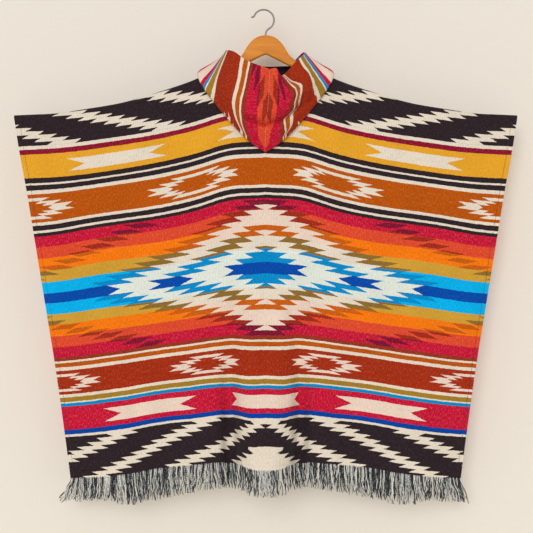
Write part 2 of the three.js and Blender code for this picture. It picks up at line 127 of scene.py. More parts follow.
# Lines of the cloth from the shoulders to the hem: the length along the cut cloth, the depth at the side
# edge, how much higher it lies in the middle and how level that rise is, the half width, the distance from
# the hanger's plane, and how evenly the cloth keeps that distance from the middle to the side.
LINES = Table(
    "flat drop rise broad reach out round",
    (0, 256, 89, 0, 605, 16, 1.3),
    (82, 338, 89, 0, 592, 30, 1.1),
    (179, 436, 87, 0, 574, 33, 1.1),
    (283, 539, 87, 0, 557, 36, 1.2),
    (436, 692, 72, 0.05, 532, 40, 1.5),
    (589, 845, 56, 0.75, 507, 43, 2),
    (764, 1020, 50, 1, 482, 44, 3),
    (870, 1127, 45, 1, 468, 44, 3),
)
HEM_FLAT = 870.0

# The share of a line's rise at each part of the way from the middle to the side edge.
ARCH = Table(
    "at peaked broad",
    (0, 1, 1),
    (0.16, 0.89, 1),
    (0.28, 0.7, 0.93),
    (0.45, 0.455, 0.7),
    (0.66, 0.24, 0.38),
    (0.87, 0.06, 0.11),
    (1, 0, 0),
)

# The top line of the shoulders, and of the hanger's arms under them.
SHOULDER = Table(
    "reach drop",
    (0, 80),
    (105, 135),
    (165, 165.5),
    (241, 195.5),
    (340, 225.5),
    (436, 242.5),
    (505, 252),
    (605, 257.5),
)

# How far the woven pattern is drawn up the cloth by its hang, in the middle, in the valley beside it, at two
# places further out and at the edge; and where across the pattern these columns lie.
DRAWN_NAMES = ("middle", "valley", "near", "far", "edge")
DRAWN_PLACES = np.array([0, 75, 180, 380, WEAVE_REACH])
DRAWN = Table(
    "flat middle valley near far edge",
    (0, -3, -4, -6, -5, 1),
    (84, 3, 3.5, -2, -1, 2.5),
    (140, 2.5, 4.5, -1, -3, 1.5),
    (220, 4, 8.5, 3, 5, 1.5),
    (340, 4.5, 4.5, 1, 5, -3),
    (460, 2, 1, 1.5, 4, -1),
    (600, 5, 3, 1, 2, 0),
    (690, 6.5, 0, 0, 1, -1),
    (745, 9, 3, 0, 1, -1),
    (790, 10, 2, 1, 0, -1),
    (870, 5, -4, 0, 0, -3),
)

# In the middle fold the pattern's places run on past zero: how far they do so, and how far out they are
# shifted for it, where the fold is narrow and where it is open; and the lengths on the cloth where it starts
# to open and where it is open.
FOLD_PAST, FOLD_SHIFTS = (36, 87), (100, 135)
FOLD_OPENS, FOLD_OPEN = 600, 769

# Length of the fringe from the middle of a hem to its end.
FRINGE_REACH = Table("at reach", (0, 62), (0.21, 60), (0.74, 70), (0.82, 57), (1, 60))

# Lines of the hood round the neck seam, 0 degrees in the middle of the back: the radius of the fold, then the
# reach, the distance to the back and the depth of the fold, the belly and the rim.
HOOD_LINES = Table(
    "turn radius fold_reach fold_out fold_drop belly_reach belly_out belly_drop rim_reach rim_out rim_drop",
    (0, 7, 0, 20, 334, 0, 84, 240, 0, 74, 143),
    (30, 7, 46, 20, 305, 68, 76, 222, 46, 68, 124),
    (50, 7, 86, 20, 262, 96, 64, 200, 72, 56, 104),
    (66, 6, 120, 20, 220, 112, 46, 170, 88, 42, 98),
    (80, 5, 145, 20, 186, 124, 26, 150, 94, 26, 98),
    (95, 4, 160, 8, 154, 128, 6, 129, 92, 8, 100),
    (108, 4, 145, -8, 143, 122, -8, 125, 86, -3, 103),
    (125, 4, 118, -27, 142, 106, -24, 126, 76, -14, 107),
    (180, 4, 0, -44, 156, 0, -40, 146, 0, -30, 137),
)

# Where the hood's lines beyond the ridge of each side lie on the woven pattern's length.
HOOD_RIDGE = 66.0
HOOD_WEAVE = Table(
    "turn weave",
    (0, 540),
    (50, 626),
    (66, 667),
    (70, 675.5),
    (77, 687),
    (82, 701),
    (95, 744),
    (108, 751),
    (125, 759),
    # from 140 degrees the rim's front lies in the cloth's black zone, whose dark is partly painted shade for
    # the inside of the hood
    (140, 771),
    (180, 790),
)

# Between the seam in the middle of the hood and the ridge: where the seam and the ridge lie on the pattern's
# length, and how far from the seam the crimson stripe starts, and the orange-brown one starts and ends. The
# places run from the fold, 9, over the belly, 10, to the rim, 11. The seam wanders aside above the fold.
FOLD_PLACE = 9
HOOD_CRIMSON_STARTS, HOOD_STRIPE_STARTS, HOOD_STRIPE_ENDS, HOOD_RIDGE_WEAVE = 556.0, 589.5, 612.5, 667.0
LEFT_DRAPE = Table(
    "place seam crimson inner outer ridge",
    (9, 556, 1, 43, 58, 667),
    (9.2, 547, 12, 49, 66, 667),
    (9.45, 541, 18, 55, 74, 667),
    (9.9, 539, 22, 61, 83, 667),
    (10.45, 539, 21, 54, 75, 667),
    (11, 540, 20, 45, 68, 667),
)
RIGHT_DRAPE = Table(
    "place seam crimson inner outer ridge",
    (9, 556, 1, 42, 49, 667),
    (9.14, 549, 7, 46, 61, 667),
    (9.42, 541, 12, 43, 65, 669),
    (9.62, 540, 20, 44, 66, 671),
    (9.72, 540, 21, 60, 76, 673),
    (9.9, 539, 22, 62, 77, 674),
    (10.1, 539, 22, 65, 80, 676),
    (10.3, 539, 21, 60, 77, 678),
    (10.45, 539, 21, 53, 66, 679),
    (10.6, 539, 20, 47, 53, 681),
    (10.8, 540, 19, 39, 42, 683),
    (11, 541, 19, 30, 33, 684),
)
SEAM_ASIDE = Table("place aside", (9, -1), (9.4, -0.5), (9.6, 1), (10, 5.5), (10.5, 8), (11, 9.4))

# How much lower than an even rim the hood's rim hangs, on its smooth side and on its wrinkled side.
FAR_SAG = ((95, 2), (108, 1), (125, 6), (140, 17), (150, 12), (165, 3), (180, -6))
LEFT_SAG = Table("turn sag", (0, 10), (30, 8), (50, 6), (66, 5), (80, 3), *FAR_SAG)
RIGHT_NEAR_SAG = ((0, 10), (8, 12), (12, 16), (16, 28), (20, 36), (30, 36), (50, 27), (66, 17), (80, 9))
RIGHT_SAG = Table("turn sag", *RIGHT_NEAR_SAG, *FAR_SAG)


# ----- The shape of the hanging cloth -----


@dataclass(frozen=True)
class Fold:
    """A fold that grows towards the hem, at a share of the half width."""

    at: float
    width: float
    starts: float
    depth: float
    sag: float = 0

    def height(self, across: Array, flat: Array) -> Array:
        """Give the fold's height at a place on the cloth.

        Args:
            across: Shares of the half width, from -1 to 1.
            flat: Lengths along the cut cloth.

        Returns:
            The share of the fold's full height, from 0 to 1.
        """
        d = np.minimum(1, np.abs(across - self.at) / self.width)
        grown = smooth((flat - self.starts) / (HEM_FLAT - self.starts)) ** 1.5
        return (1 - d**3) ** 2 * grown


@dataclass(frozen=True)
class Crease:
    """A soft trough or ridge pressed into the cloth along a line of (x, depth) places."""

    line: tuple[tuple[float, float], ...]
    width: float
    height: float

    def lift(self, x: Array, drop: Array) -> Array:
        """Give how far the crease moves the cloth out.

        Args:
            x: Places across the cloth, from the garment's middle.
            drop: Their depths below the origin.

        Returns:
            The move at each place, which fades to nothing at the crease's ends and sides.
        """
        points = np.array(self.line, float)
        lengths = np.linalg.norm(np.diff(points, axis=0), axis=1)
        total, before = lengths.sum(), 0.0
        nearest, share = np.full(x.shape, 1e9), np.zeros(x.shape)
        for a, b, length in zip(points[:-1], points[1:], lengths):
            t = np.clip(((x - a[0]) * (b[0] - a[0]) + (drop - a[1]) * (b[1] - a[1])) / length**2, 0, 1)
            d = np.hypot(x - a[0] - t * (b[0] - a[0]), drop - a[1] - t * (b[1] - a[1]))
            share = np.where(d < nearest, (before + t * length) / total, share)
            nearest = np.minimum(nearest, d)
            before += length
        ends = smooth(np.minimum(share, 1 - share) * 4)
        return self.height * ends * np.exp(-((nearest / self.width) ** 2) * 2)


@dataclass(frozen=True)
class HangingCloth:
    """The form of one panel: +1 towards the front, -1 towards the back."""

    toward: int
    neck_flat: float
    folds: tuple[Fold, ...]
    creases: tuple[Crease, ...]

    def drop(self, across: Array, flat: Array) -> Array:
        """Give the depth of the hanging cloth below the origin.

        Args:
            across: Shares of the half width, from -1 to 1.
            flat: Lengths along the cut cloth.

        Returns:
            The depths.
        """
        level = LINES.read("flat", "broad", flat)
        share = np.abs(across)
        arch = ARCH.read("at", "peaked", share) * (1 - level) + ARCH.read("at", "broad", share) * level
        sag = sum(fold.sag * fold.height(across, flat) for fold in self.folds)
        return LINES.read("flat", "drop", flat) - LINES.read("flat", "rise", flat) * arch + sag

    def bend_end(self, across: Array) -> Array:
        """Find where the cloth leaves the bend over the shoulder.

        Args:
            across: Shares of the half width, from -1 to 1.

        Returns:
            The lengths along the cut cloth.
        """
        across = np.asarray(across, float)
        wanted = shoulder(np.abs(across) * CORNER_REACH) + SHOULDER_BEND
        low, high = np.full(across.shape, -SEARCH_REACH), np.full(across.shape, SEARCH_REACH)
        for _ in range(SEARCH_STEPS):
            middle = (low + high) / 2
            above = self.drop(across, middle) < wanted
            low, high = np.where(above, middle, low), np.where(above, high, middle)
        return (low + high) / 2

    def out(self, across: Array, flat: Array, end: Array) -> Array:
        """Give the distance of the hanging cloth from the hanger's plane.

        Args:
            across: Shares of the half width, from -1 to 1.
            flat: Lengths along the cut cloth.
            end: Where the cloth leaves the bend over the shoulder.

        Returns:
            The distances.
        """
        least = SEAM_GAP / 2 + SHOULDER_BEND
        level = 1 - np.abs(across) ** np.maximum(1, LINES.read("flat", "round", flat))
        grown = smooth((flat - end) / OUT_GROWS)
        folds = sum(fold.depth * fold.height(across, flat) for fold in self.folds)
        return least + (LINES.read("flat", "out", flat) - least) * level * grown + folds

    def point(self, across: Array, flat: Array) -> Array:
        """Place points of the panel's middle surface.

        Args:
            across: Shares of the half width, from -1 to 1.
            flat: Lengths along the cut cloth.

        Returns:
            The points, with x, y and z last.
        """
        across, flat = np.broadcast_arrays(np.asarray(across, float), np.asarray(flat, float))
        end = self.bend_end(across)
        x = across * LINES.read("flat", "reach", np.maximum(0, flat))
        drop = self.drop(across, flat)
        out = self.out(across, flat, end)
        for crease in self.creases:
            out = out + crease.lift(x, drop) * smooth((flat - end) / BEND_FADE)
        hanging = np.stack([x, self.toward * out, -drop], -1)
        angle = math.pi / 2 - (end - flat) / SHOULDER_BEND
        top = shoulder(np.abs(across) * CORNER_REACH)
        bent = np.stack(
            [
                x,
                self.toward * (SEAM_GAP / 2 + SHOULDER_BEND * np.sin(angle)),
                -top - SHOULDER_BEND * (1 - np.cos(angle)),
            ],
            -1,
        )
        return np.where((flat >= end)[..., None], hanging, bent)

    def top_flat(self, across: Array) -> Array:
        """Find the panel's upper edge: along the shoulder, and lower round the neck.

        Args:
            across: Shares of the half width, from -1 to 1.

        Returns:
            The edge's lengths along the cut cloth.
        """
        seam = self.bend_end(across) - SHOULDER_BEND * math.pi / 2
        share = np.minimum(1, np.abs(across) / NECK_END)
        opened = np.sqrt(1 - share**2) ** NECK_ROUNDNESS
        return seam + (self.neck_flat - seam) * opened

    def out_at(self, reach: Array, drop: Array) -> Array:
        """Give the panel's distance from the hanger's plane.

        Args:
            reach: Places beside the garment's middle.
            drop: Their depths below the origin.

        Returns:
            The distances.
        """
        low, high = np.full(reach.shape, -SEARCH_REACH), np.full(reach.shape, HEM_FLAT)
        for _ in range(SEARCH_STEPS):
            middle = (low + high) / 2
            across = reach / LINES.read("flat", "reach", np.maximum(0, middle))
            above = self.drop(across, middle) < drop
            low, high = np.where(above, middle, low), np.where(above, high, middle)
        across = reach / LINES.read("flat", "reach", np.maximum(0, low))
        return self.out(across, low, self.bend_end(across))


BACK = HangingCloth(
    toward=-1,
    neck_flat=6,
    folds=(
        Fold(at=0, width=0.165, starts=330, depth=42, sag=15),
        Fold(at=-0.175, width=0.055, starts=560, depth=-24, sag=7),
        Fold(at=0.17, width=0.055, starts=560, depth=-22, sag=7),
        Fold(at=-0.3, width=0.1, starts=420, depth=5),
        Fold(at=0.28, width=0.1, starts=420, depth=6),
        Fold(at=-0.52, width=0.15, starts=280, depth=-9, sag=-2),
        Fold(at=0.5, width=0.16, starts=260, depth=-8, sag=-2),
        Fold(at=-0.76, width=0.13, starts=220, depth=7),
        Fold(at=0.78, width=0.12, starts=260, depth=6),
    ),
    creases=(
        Crease(line=((-58, 640), (-84, 820), (-92, 1010), (-88, 1090)), width=24, height=-8),
        Crease(line=((56, 660), (80, 850), (88, 1040), (86, 1095)), width=22, height=-8),
        Crease(line=((-235, 420), (-262, 620), (-270, 860)), width=34, height=2.2),
        Crease(line=((228, 400), (258, 640), (262, 900)), width=36, height=2.4),
        Crease(line=((-395, 470), (-372, 700), (-352, 980)), width=30, height=-2),
        Crease(line=((402, 520), (372, 760), (356, 1010)), width=28, height=-2.2),
        Crease(line=((-150, 380), (-170, 560)), width=30, height=-1.8),
        Crease(line=((168, 400), (150, 600)), width=26, height=1.6),
        Crease(line=((0, 400), (0, 760), (0, 1090)), width=5, height=-1.1),
    ),
)
FRONT = HangingCloth(
    toward=1,
    neck_flat=10,
    folds=(
        Fold(at=0.02, width=0.2, starts=280, depth=24, sag=8),
        Fold(at=-0.23, width=0.07, starts=480, depth=-14),
        Fold(at=0.25, width=0.06, starts=520, depth=-16),
        Fold(at=-0.4, width=0.12, starts=360, depth=6),
        Fold(at=0.56, width=0.15, starts=240, depth=-9, sag=-2),
        Fold(at=-0.62, width=0.13, starts=300, depth=-8, sag=-2),
        Fold(at=0.8, width=0.12, starts=280, depth=6),
    ),
    creases=(
        Crease(line=((-78, 520), (-104, 760), (-112, 1060)), width=26, height=-2.8),
        Crease(line=((92, 560), (118, 820), (122, 1070)), width=24, height=-3),
        Crease(line=((210, 420), (246, 660), (240, 940)), width=34, height=2.2),
        Crease(line=((-240, 380), (-224, 640), (-250, 900)), width=32, height=2),
        Crease(line=((-402, 560), (-380, 780), (-350, 1000)), width=30, height=-2.2),
        Crease(line=((60, 250), (20, 330), (-40, 380)), width=26, height=-2.4),
        Crease(line=((-96, 270), (-30, 350)), width=22, height=1.8),
    ),
)


NECK_CENTRE = np.array([0, 0, -105.0])  # the middle of the neck hole
CLEARANCE = 1.7  # between the hood's cloth and the panels, beyond the thickness of one cloth


def neck_seam(turn: Array) -> tuple[Array, Array, Array]:
    """Follow the seam round the neck hole.

    Args:
        turn: Degrees round the seam, 0 in the middle of the back and 180 in the middle of the front.

    Returns:
        The seam's points, the direction out of the cloth there, and the one into the hole.
    """

    def at(degrees: Array, aside: float = 0, deeper: float = 0) -> Array:
        """Place points of the seam, or of the cloth beside it.

        Args:
            degrees: Degrees round the seam.
            aside: A share of the half width to step sideways.
            deeper: A length to step down the cloth.

        Returns:
            The points.
        """
        across = NECK_END * np.sin(np.radians(degrees))
        places = [p.point(across + aside, p.top_flat(across) + deeper) for p in (BACK, FRONT)]
        return np.where((turn < 90)[:, None], *places)

    point = at(turn)
    sideways = at(turn, aside=0.002) - at(turn, aside=-0.002)
    deeper = at(turn, deeper=1.0) - point
    out = np.cross(sideways, deeper)
    out /= np.linalg.norm(out, axis=1, keepdims=True)
    toward = np.where(turn < 90, -1.0, 1.0)
    out = np.where((out[:, 1] * toward + out[:, 2] < 0)[:, None], -out, out)
    into = np.cross(out, seam_step(turn))
    into /= np.linalg.norm(into, axis=1, keepdims=True)
    into = np.where((np.sum(into * (NECK_CENTRE - point), axis=1) < 0)[:, None], -into, into)
    return point, out, into


def seam_step(turn: Array) -> Array:
    """Give the direction in which the neck seam runs.

    Args:
        turn: Degrees round the seam.

    Returns:
        A step along the seam at each turn.
    """
    ends = []
    for degrees in (np.minimum(180, turn + 1), np.maximum(0, turn - 1)):
        across = NECK_END * np.sin(np.radians(degrees))
        places = [p.point(across, p.top_flat(across)) for p in (BACK, FRONT)]
        ends.append(np.where((degrees < 90)[:, None], *places))
    return ends[0] - ends[1]


def clear_of_panels(point: Array, radius: Array | float = 0) -> Array:
    """Move points off the panels until cloth through them clears the panels.

    Args:
        point: The points.
        radius: How far round the points the cloth lies.

    Returns:
        The moved points.
    """
    need = CLOTH + CLEARANCE + radius
    centre = -shoulder(np.abs(point[:, 0])) - SHOULDER_BEND
    height = point[:, 2] - centre
    behind = point[:, 1] < 0
    reach, drop = np.abs(point[:, 0]), -point[:, 2]
    out = np.where(behind, BACK.out_at(reach, drop), FRONT.out_at(reach, drop)) + need
    side = np.where(behind, -1.0, 1.0)
    lower = np.stack([point[:, 0], side * np.maximum(np.abs(point[:, 1]), out), point[:, 2]], -1)
    scale = np.maximum(1, (SHOULDER_BEND + need) / np.hypot(point[:, 1], height))
    upper = np.stack([point[:, 0], point[:, 1] * scale, centre + height * scale], -1)
    return np.where((height < 0)[:, None], lower, upper)


def curve_through(keys: Array, places: Array) -> Array:
    """Run smooth curves through key points.

    Args:
        keys: The key points, shaped (keys, curves, 3).
        places: Where to read the curves, counted in keys.

    Returns:
        The points, shaped (places, curves, 3).
    """
    ends = [2 * keys[:1] - keys[1:2], keys, 2 * keys[-1:] - keys[-2:-1]]
    padded = np.concatenate(ends)
    spans = np.sqrt(np.linalg.norm(np.diff(padded, axis=0), axis=2))[..., None]
    rows = []
    for place in places:
        i = min(int(place), len(keys) - 2)
        t = place - i
        p0, p1, p2, p3 = padded[i : i + 4]
        d0, d1, d2 = spans[i : i + 3]
        t1 = ((p1 - p0) / d0 - (p2 - p0) / (d0 + d1) + (p2 - p1) / d1) * d1
        t2 = ((p2 - p1) / d1 - (p3 - p1) / (d1 + d2) + (p3 - p2) / d2) * d1
        square = -3 * p1 + 3 * p2 - 2 * t1 - t2
        cube = 2 * p1 - 2 * p2 + t1 + t2
        rows.append(p1 + t1 * t + square * t**2 + cube * t**3)
    return np.array(rows)


# ----- Materials -----


def linear(hex_colour: str) -> tuple[float, float, float, float]:
    """Turn an sRGB colour into a linear one.

    Args:
        hex_colour: The colour, such as "C5163C".

    Returns:
        The linear red, green and blue, and full alpha.
    """
    parts = [int(hex_colour[i : i + 2], 16) / 255 for i in (0, 2, 4)]
    bright = [c / 12.92 if c <= 0.04045 else ((c + 0.055) / 1.055) ** 2.4 for c in parts]
    return (*bright, 1.0)


def add_node(
    tree: bpy.types.NodeTree,
    kind: str,
    inputs: Mapping[int | str, object] | Sequence[object] = (),
    **settings: object,
) -> bpy.types.Node:
    """Add one shader node with its settings and links.

    Args:
        tree: The material's node tree.
        kind: The node's type, without its ShaderNode prefix.
        inputs: A value, a socket or a reading for each input, by its number or name.
        **settings: The node's own properties.

    Returns:
        The new node.
    """
    node = tree.nodes.new("ShaderNode" + kind)
    for name, value in settings.items():
        setattr(node, name, value)
    pairs = inputs.items() if isinstance(inputs, Mapping) else enumerate(inputs)
    for key, value in pairs:
        source = value.socket if isinstance(value, Reading) else value
        if isinstance(source, bpy.types.NodeSocket):
            tree.links.new(source, node.inputs[key])
        else:
            node.inputs[key].default_value = source
    return node


def start_material(name: str) -> tuple[bpy.types.Material, bpy.types.NodeTree]:
    """Make a material without nodes.

    Args:
        name: The material's name.

    Returns:
        The material and its empty node tree.
    """
    material = bpy.data.materials.new(name)
    material.use_nodes = True
    material.node_tree.nodes.clear()
    return material, material.node_tree


def set_stops(ramp: bpy.types.Node, stops: Sequence[tuple[float, str]]) -> None:
    """Give a colour ramp its stops.

    Args:
        ramp: The ramp's node.
        stops: The place and the sRGB hex colour of each stop, in order.
    """
    elements = ramp.color_ramp.elements
    elements.remove(elements[-1])
    for _ in stops[1:]:
        elements.new(1.0)
    for element, (place, hex_colour) in zip(elements, stops):
        element.position = place
        element.color = linear(hex_colour)


@dataclass(frozen=True, eq=False)
class Reading:
    """A number that varies over a surface. Arithmetic with it adds the nodes that work it out."""

    tree: bpy.types.NodeTree
    socket: bpy.types.NodeSocket

    def step(self, operation: str, *others: object) -> "Reading":
        """Give the result of one operation on this number."""
        node = add_node(self.tree, "Math", (self, *others), operation=operation)
        return Reading(self.tree, node.outputs[0])

    def __add__(self, other: object) -> "Reading":
        """Add."""
        return self.step("ADD", other)

    def __sub__(self, other: object) -> "Reading":
        """Subtract."""
        return self.step("SUBTRACT", other)

    def __mul__(self, other: object) -> "Reading":
        """Multiply."""
        return self.step("MULTIPLY", other)

    def __truediv__(self, other: object) -> "Reading":
        """Divide."""
        return self.step("DIVIDE", other)

    def __abs__(self) -> "Reading":
        """Drop the sign."""
        return self.step("ABSOLUTE")

    def __mod__(self, other: object) -> "Reading":
        """Give what is left after whole repeats."""
        return self.step("FLOORED_MODULO", other)

    def whole(self) -> "Reading":
        """Drop the fraction."""
        return self.step("FLOOR")

    def below(self, other: object) -> "Reading":
        """Give 1 where this is less than the other, and 0 elsewhere."""
        return self.step("LESS_THAN", other)

    def above(self, other: object) -> "Reading":
        """Give 1 where this is more than the other, and 0 elsewhere."""
        return self.step("GREATER_THAN", other)

    def within(self, low: float, high: float) -> "Reading":
        """Give 1 between two numbers, and 0 elsewhere."""
        return self.above(low) * self.below(high)

    def either(self, other: object) -> "Reading":
        """Give the larger one."""
        return self.step("MAXIMUM", other)


class Dye(Enum):
    """The yarn colours of the blanket."""

    BLACK = "2C2227"
    CREAM = "E2D7C5"
    MAROON = "8A0E2E"
    YELLOW = "E2A22A"
    ORANGE_BROWN = "B65200"
    CRIMSON = "C20F36"
    RED_ORANGE = "DA4728"
    ORANGE = "F27702"
    OCHRE = "CC9C36"
    CYAN = "00AEEA"
    ROYAL = "0049A8"
    BROWN = "93321C"
    RUST = "A02C0C"
    OLIVE = "A07A28"
    BLUE = "0088C4"
    NAVY = "00429E"
    MARK_MAROON = "7A1030"
    MARK_BRICK = "9C2A18"
    MARK_AMBER = "C45C08"
    MARK_OLIVE = "8A6A30"
    MARK_BLUE = "0089C8"
    PINK_CREAM = "E7D1C0"
    MINT_CREAM = "DCE4DA"


class Stripe(NamedTuple):
    """One woven stripe, by the length on the cloth where it ends."""

    ends: float
    dye: Dye


STRIPES = (
    Stripe(75.6, Dye.BLACK),
    Stripe(84, Dye.CREAM),
    Stripe(96, Dye.MAROON),
    Stripe(150.5, Dye.YELLOW),
    Stripe(163, Dye.BLACK),
    Stripe(167.6, Dye.CREAM),
    Stripe(180.3, Dye.BLACK),
    Stripe(189.7, Dye.CREAM),
    Stripe(256.6, Dye.ORANGE_BROWN),
    Stripe(263.7, Dye.CREAM),
    Stripe(275.2, Dye.BLACK),
    Stripe(280.6, Dye.CREAM),
    Stripe(288.8, Dye.BLACK),
    Stripe(314, Dye.CRIMSON),
    Stripe(340, Dye.RED_ORANGE),
    Stripe(369, Dye.ORANGE),
    Stripe(397.5, Dye.OCHRE),
    Stripe(425, Dye.CYAN),
    Stripe(448.5, Dye.ROYAL),
    Stripe(476, Dye.CYAN),
    Stripe(501, Dye.OCHRE),
    Stripe(529.5, Dye.ORANGE),
    Stripe(556, Dye.RED_ORANGE),
    Stripe(581, Dye.CRIMSON),
    Stripe(589.5, Dye.BROWN),
    Stripe(594.5, Dye.CREAM),
    Stripe(604, Dye.ORANGE_BROWN),
    Stripe(612.5, Dye.CREAM),
    Stripe(668.5, Dye.RUST),
    Stripe(675.5, Dye.CREAM),
    Stripe(686, Dye.OLIVE),
    Stripe(689.3, Dye.CREAM),
    Stripe(697, Dye.BLUE),
    Stripe(752.5, Dye.CRIMSON),
    Stripe(763.5, Dye.NAVY),
    Stripe(769, Dye.CREAM),
    Stripe(1000, Dye.BLACK),
)
MARK_STRIPES = (
    Stripe(311, Dye.MARK_MAROON),
    Stripe(340, Dye.MARK_BRICK),
    Stripe(369, Dye.MARK_AMBER),
    Stripe(397.5, Dye.MARK_OLIVE),
    Stripe(425, Dye.MARK_BLUE),
    Stripe(448.5, Dye.ROYAL),
    Stripe(476, Dye.MARK_BLUE),
    Stripe(501, Dye.MARK_OLIVE),
    Stripe(529.5, Dye.MARK_AMBER),
    Stripe(556, Dye.MARK_BRICK),
    Stripe(1000, Dye.MARK_MAROON),
)
CREAM_STRIPES = (
    Stripe(283.5, Dye.CREAM),
    Stripe(369, Dye.PINK_CREAM),
    Stripe(397.5, Dye.CREAM),
    Stripe(476, Dye.MINT_CREAM),
    Stripe(501, Dye.CREAM),
    Stripe(755, Dye.PINK_CREAM),
    Stripe(1000, Dye.CREAM),
)
RAMP_LENGTH = 200  # length on the cloth of one colour ramp, so that the ramp's steps are under a millimetre
RAMP_END = 1000


class Serration(NamedTuple):
    """A stepped edge: rows of one height, each shifted on by a step and drawn out to a slanted point."""

    row: float
    step: float
    slant: float

    def stretched(self, share: float) -> "Serration":
        """Give the same edge in rows that are taller or lower by a share."""
        return Serration(self.row * share, self.step, self.slant)


# The nested diamonds of the wide field: their middle line, the rings of cream and of darker marks, measured
# from the field's centre, and the rows of it.
FIELD_MIDDLE = 436.75
FIELD_CUT = Serration(row=11.1, step=34.5, slant=31)
INNER_CREAM, OUTER_CREAM = (101.5, 204), (281, 378)
INNER_MARKS_END, OUTER_MARKS = 450, (689, 740)
TIP_ROWS = 7.5  # from row 8 on, all inside the outer ring is cream
FIELD_ROWS = 12.5  # rows 0 to 12, each side of the middle line

# The rings in the two plain bands: the rows of their outside and of the hollow in them.
RING_CUT = Serration(row=7.05, step=26.5, slant=21)
HOLLOW_CUT = Serration(row=5, step=13.5, slant=12)
RING_ROWS = 2.5  # rows 0 to 2, each side of the middle line

# The serrated diagonals at the shoulders and at the hem.
DIAGONAL_PITCH = 225
SHOULDER_CUT = Serration(row=8.8, step=25.5, slant=15)
HEM_CUT = Serration(row=8.5, step=27.5, slant=19)

# The lozenge that widens in rows down to the hem. Its tip lies in the fold, where places across the pattern
# are below zero, and starts a part of a row above the rows.
LOZENGE_START = 829.5
LOZENGE_CUT = Serration(row=9.3, step=66, slant=35)
LOZENGE_TIP_EDGE, LOZENGE_TIP_ROWS = -19, -0.54


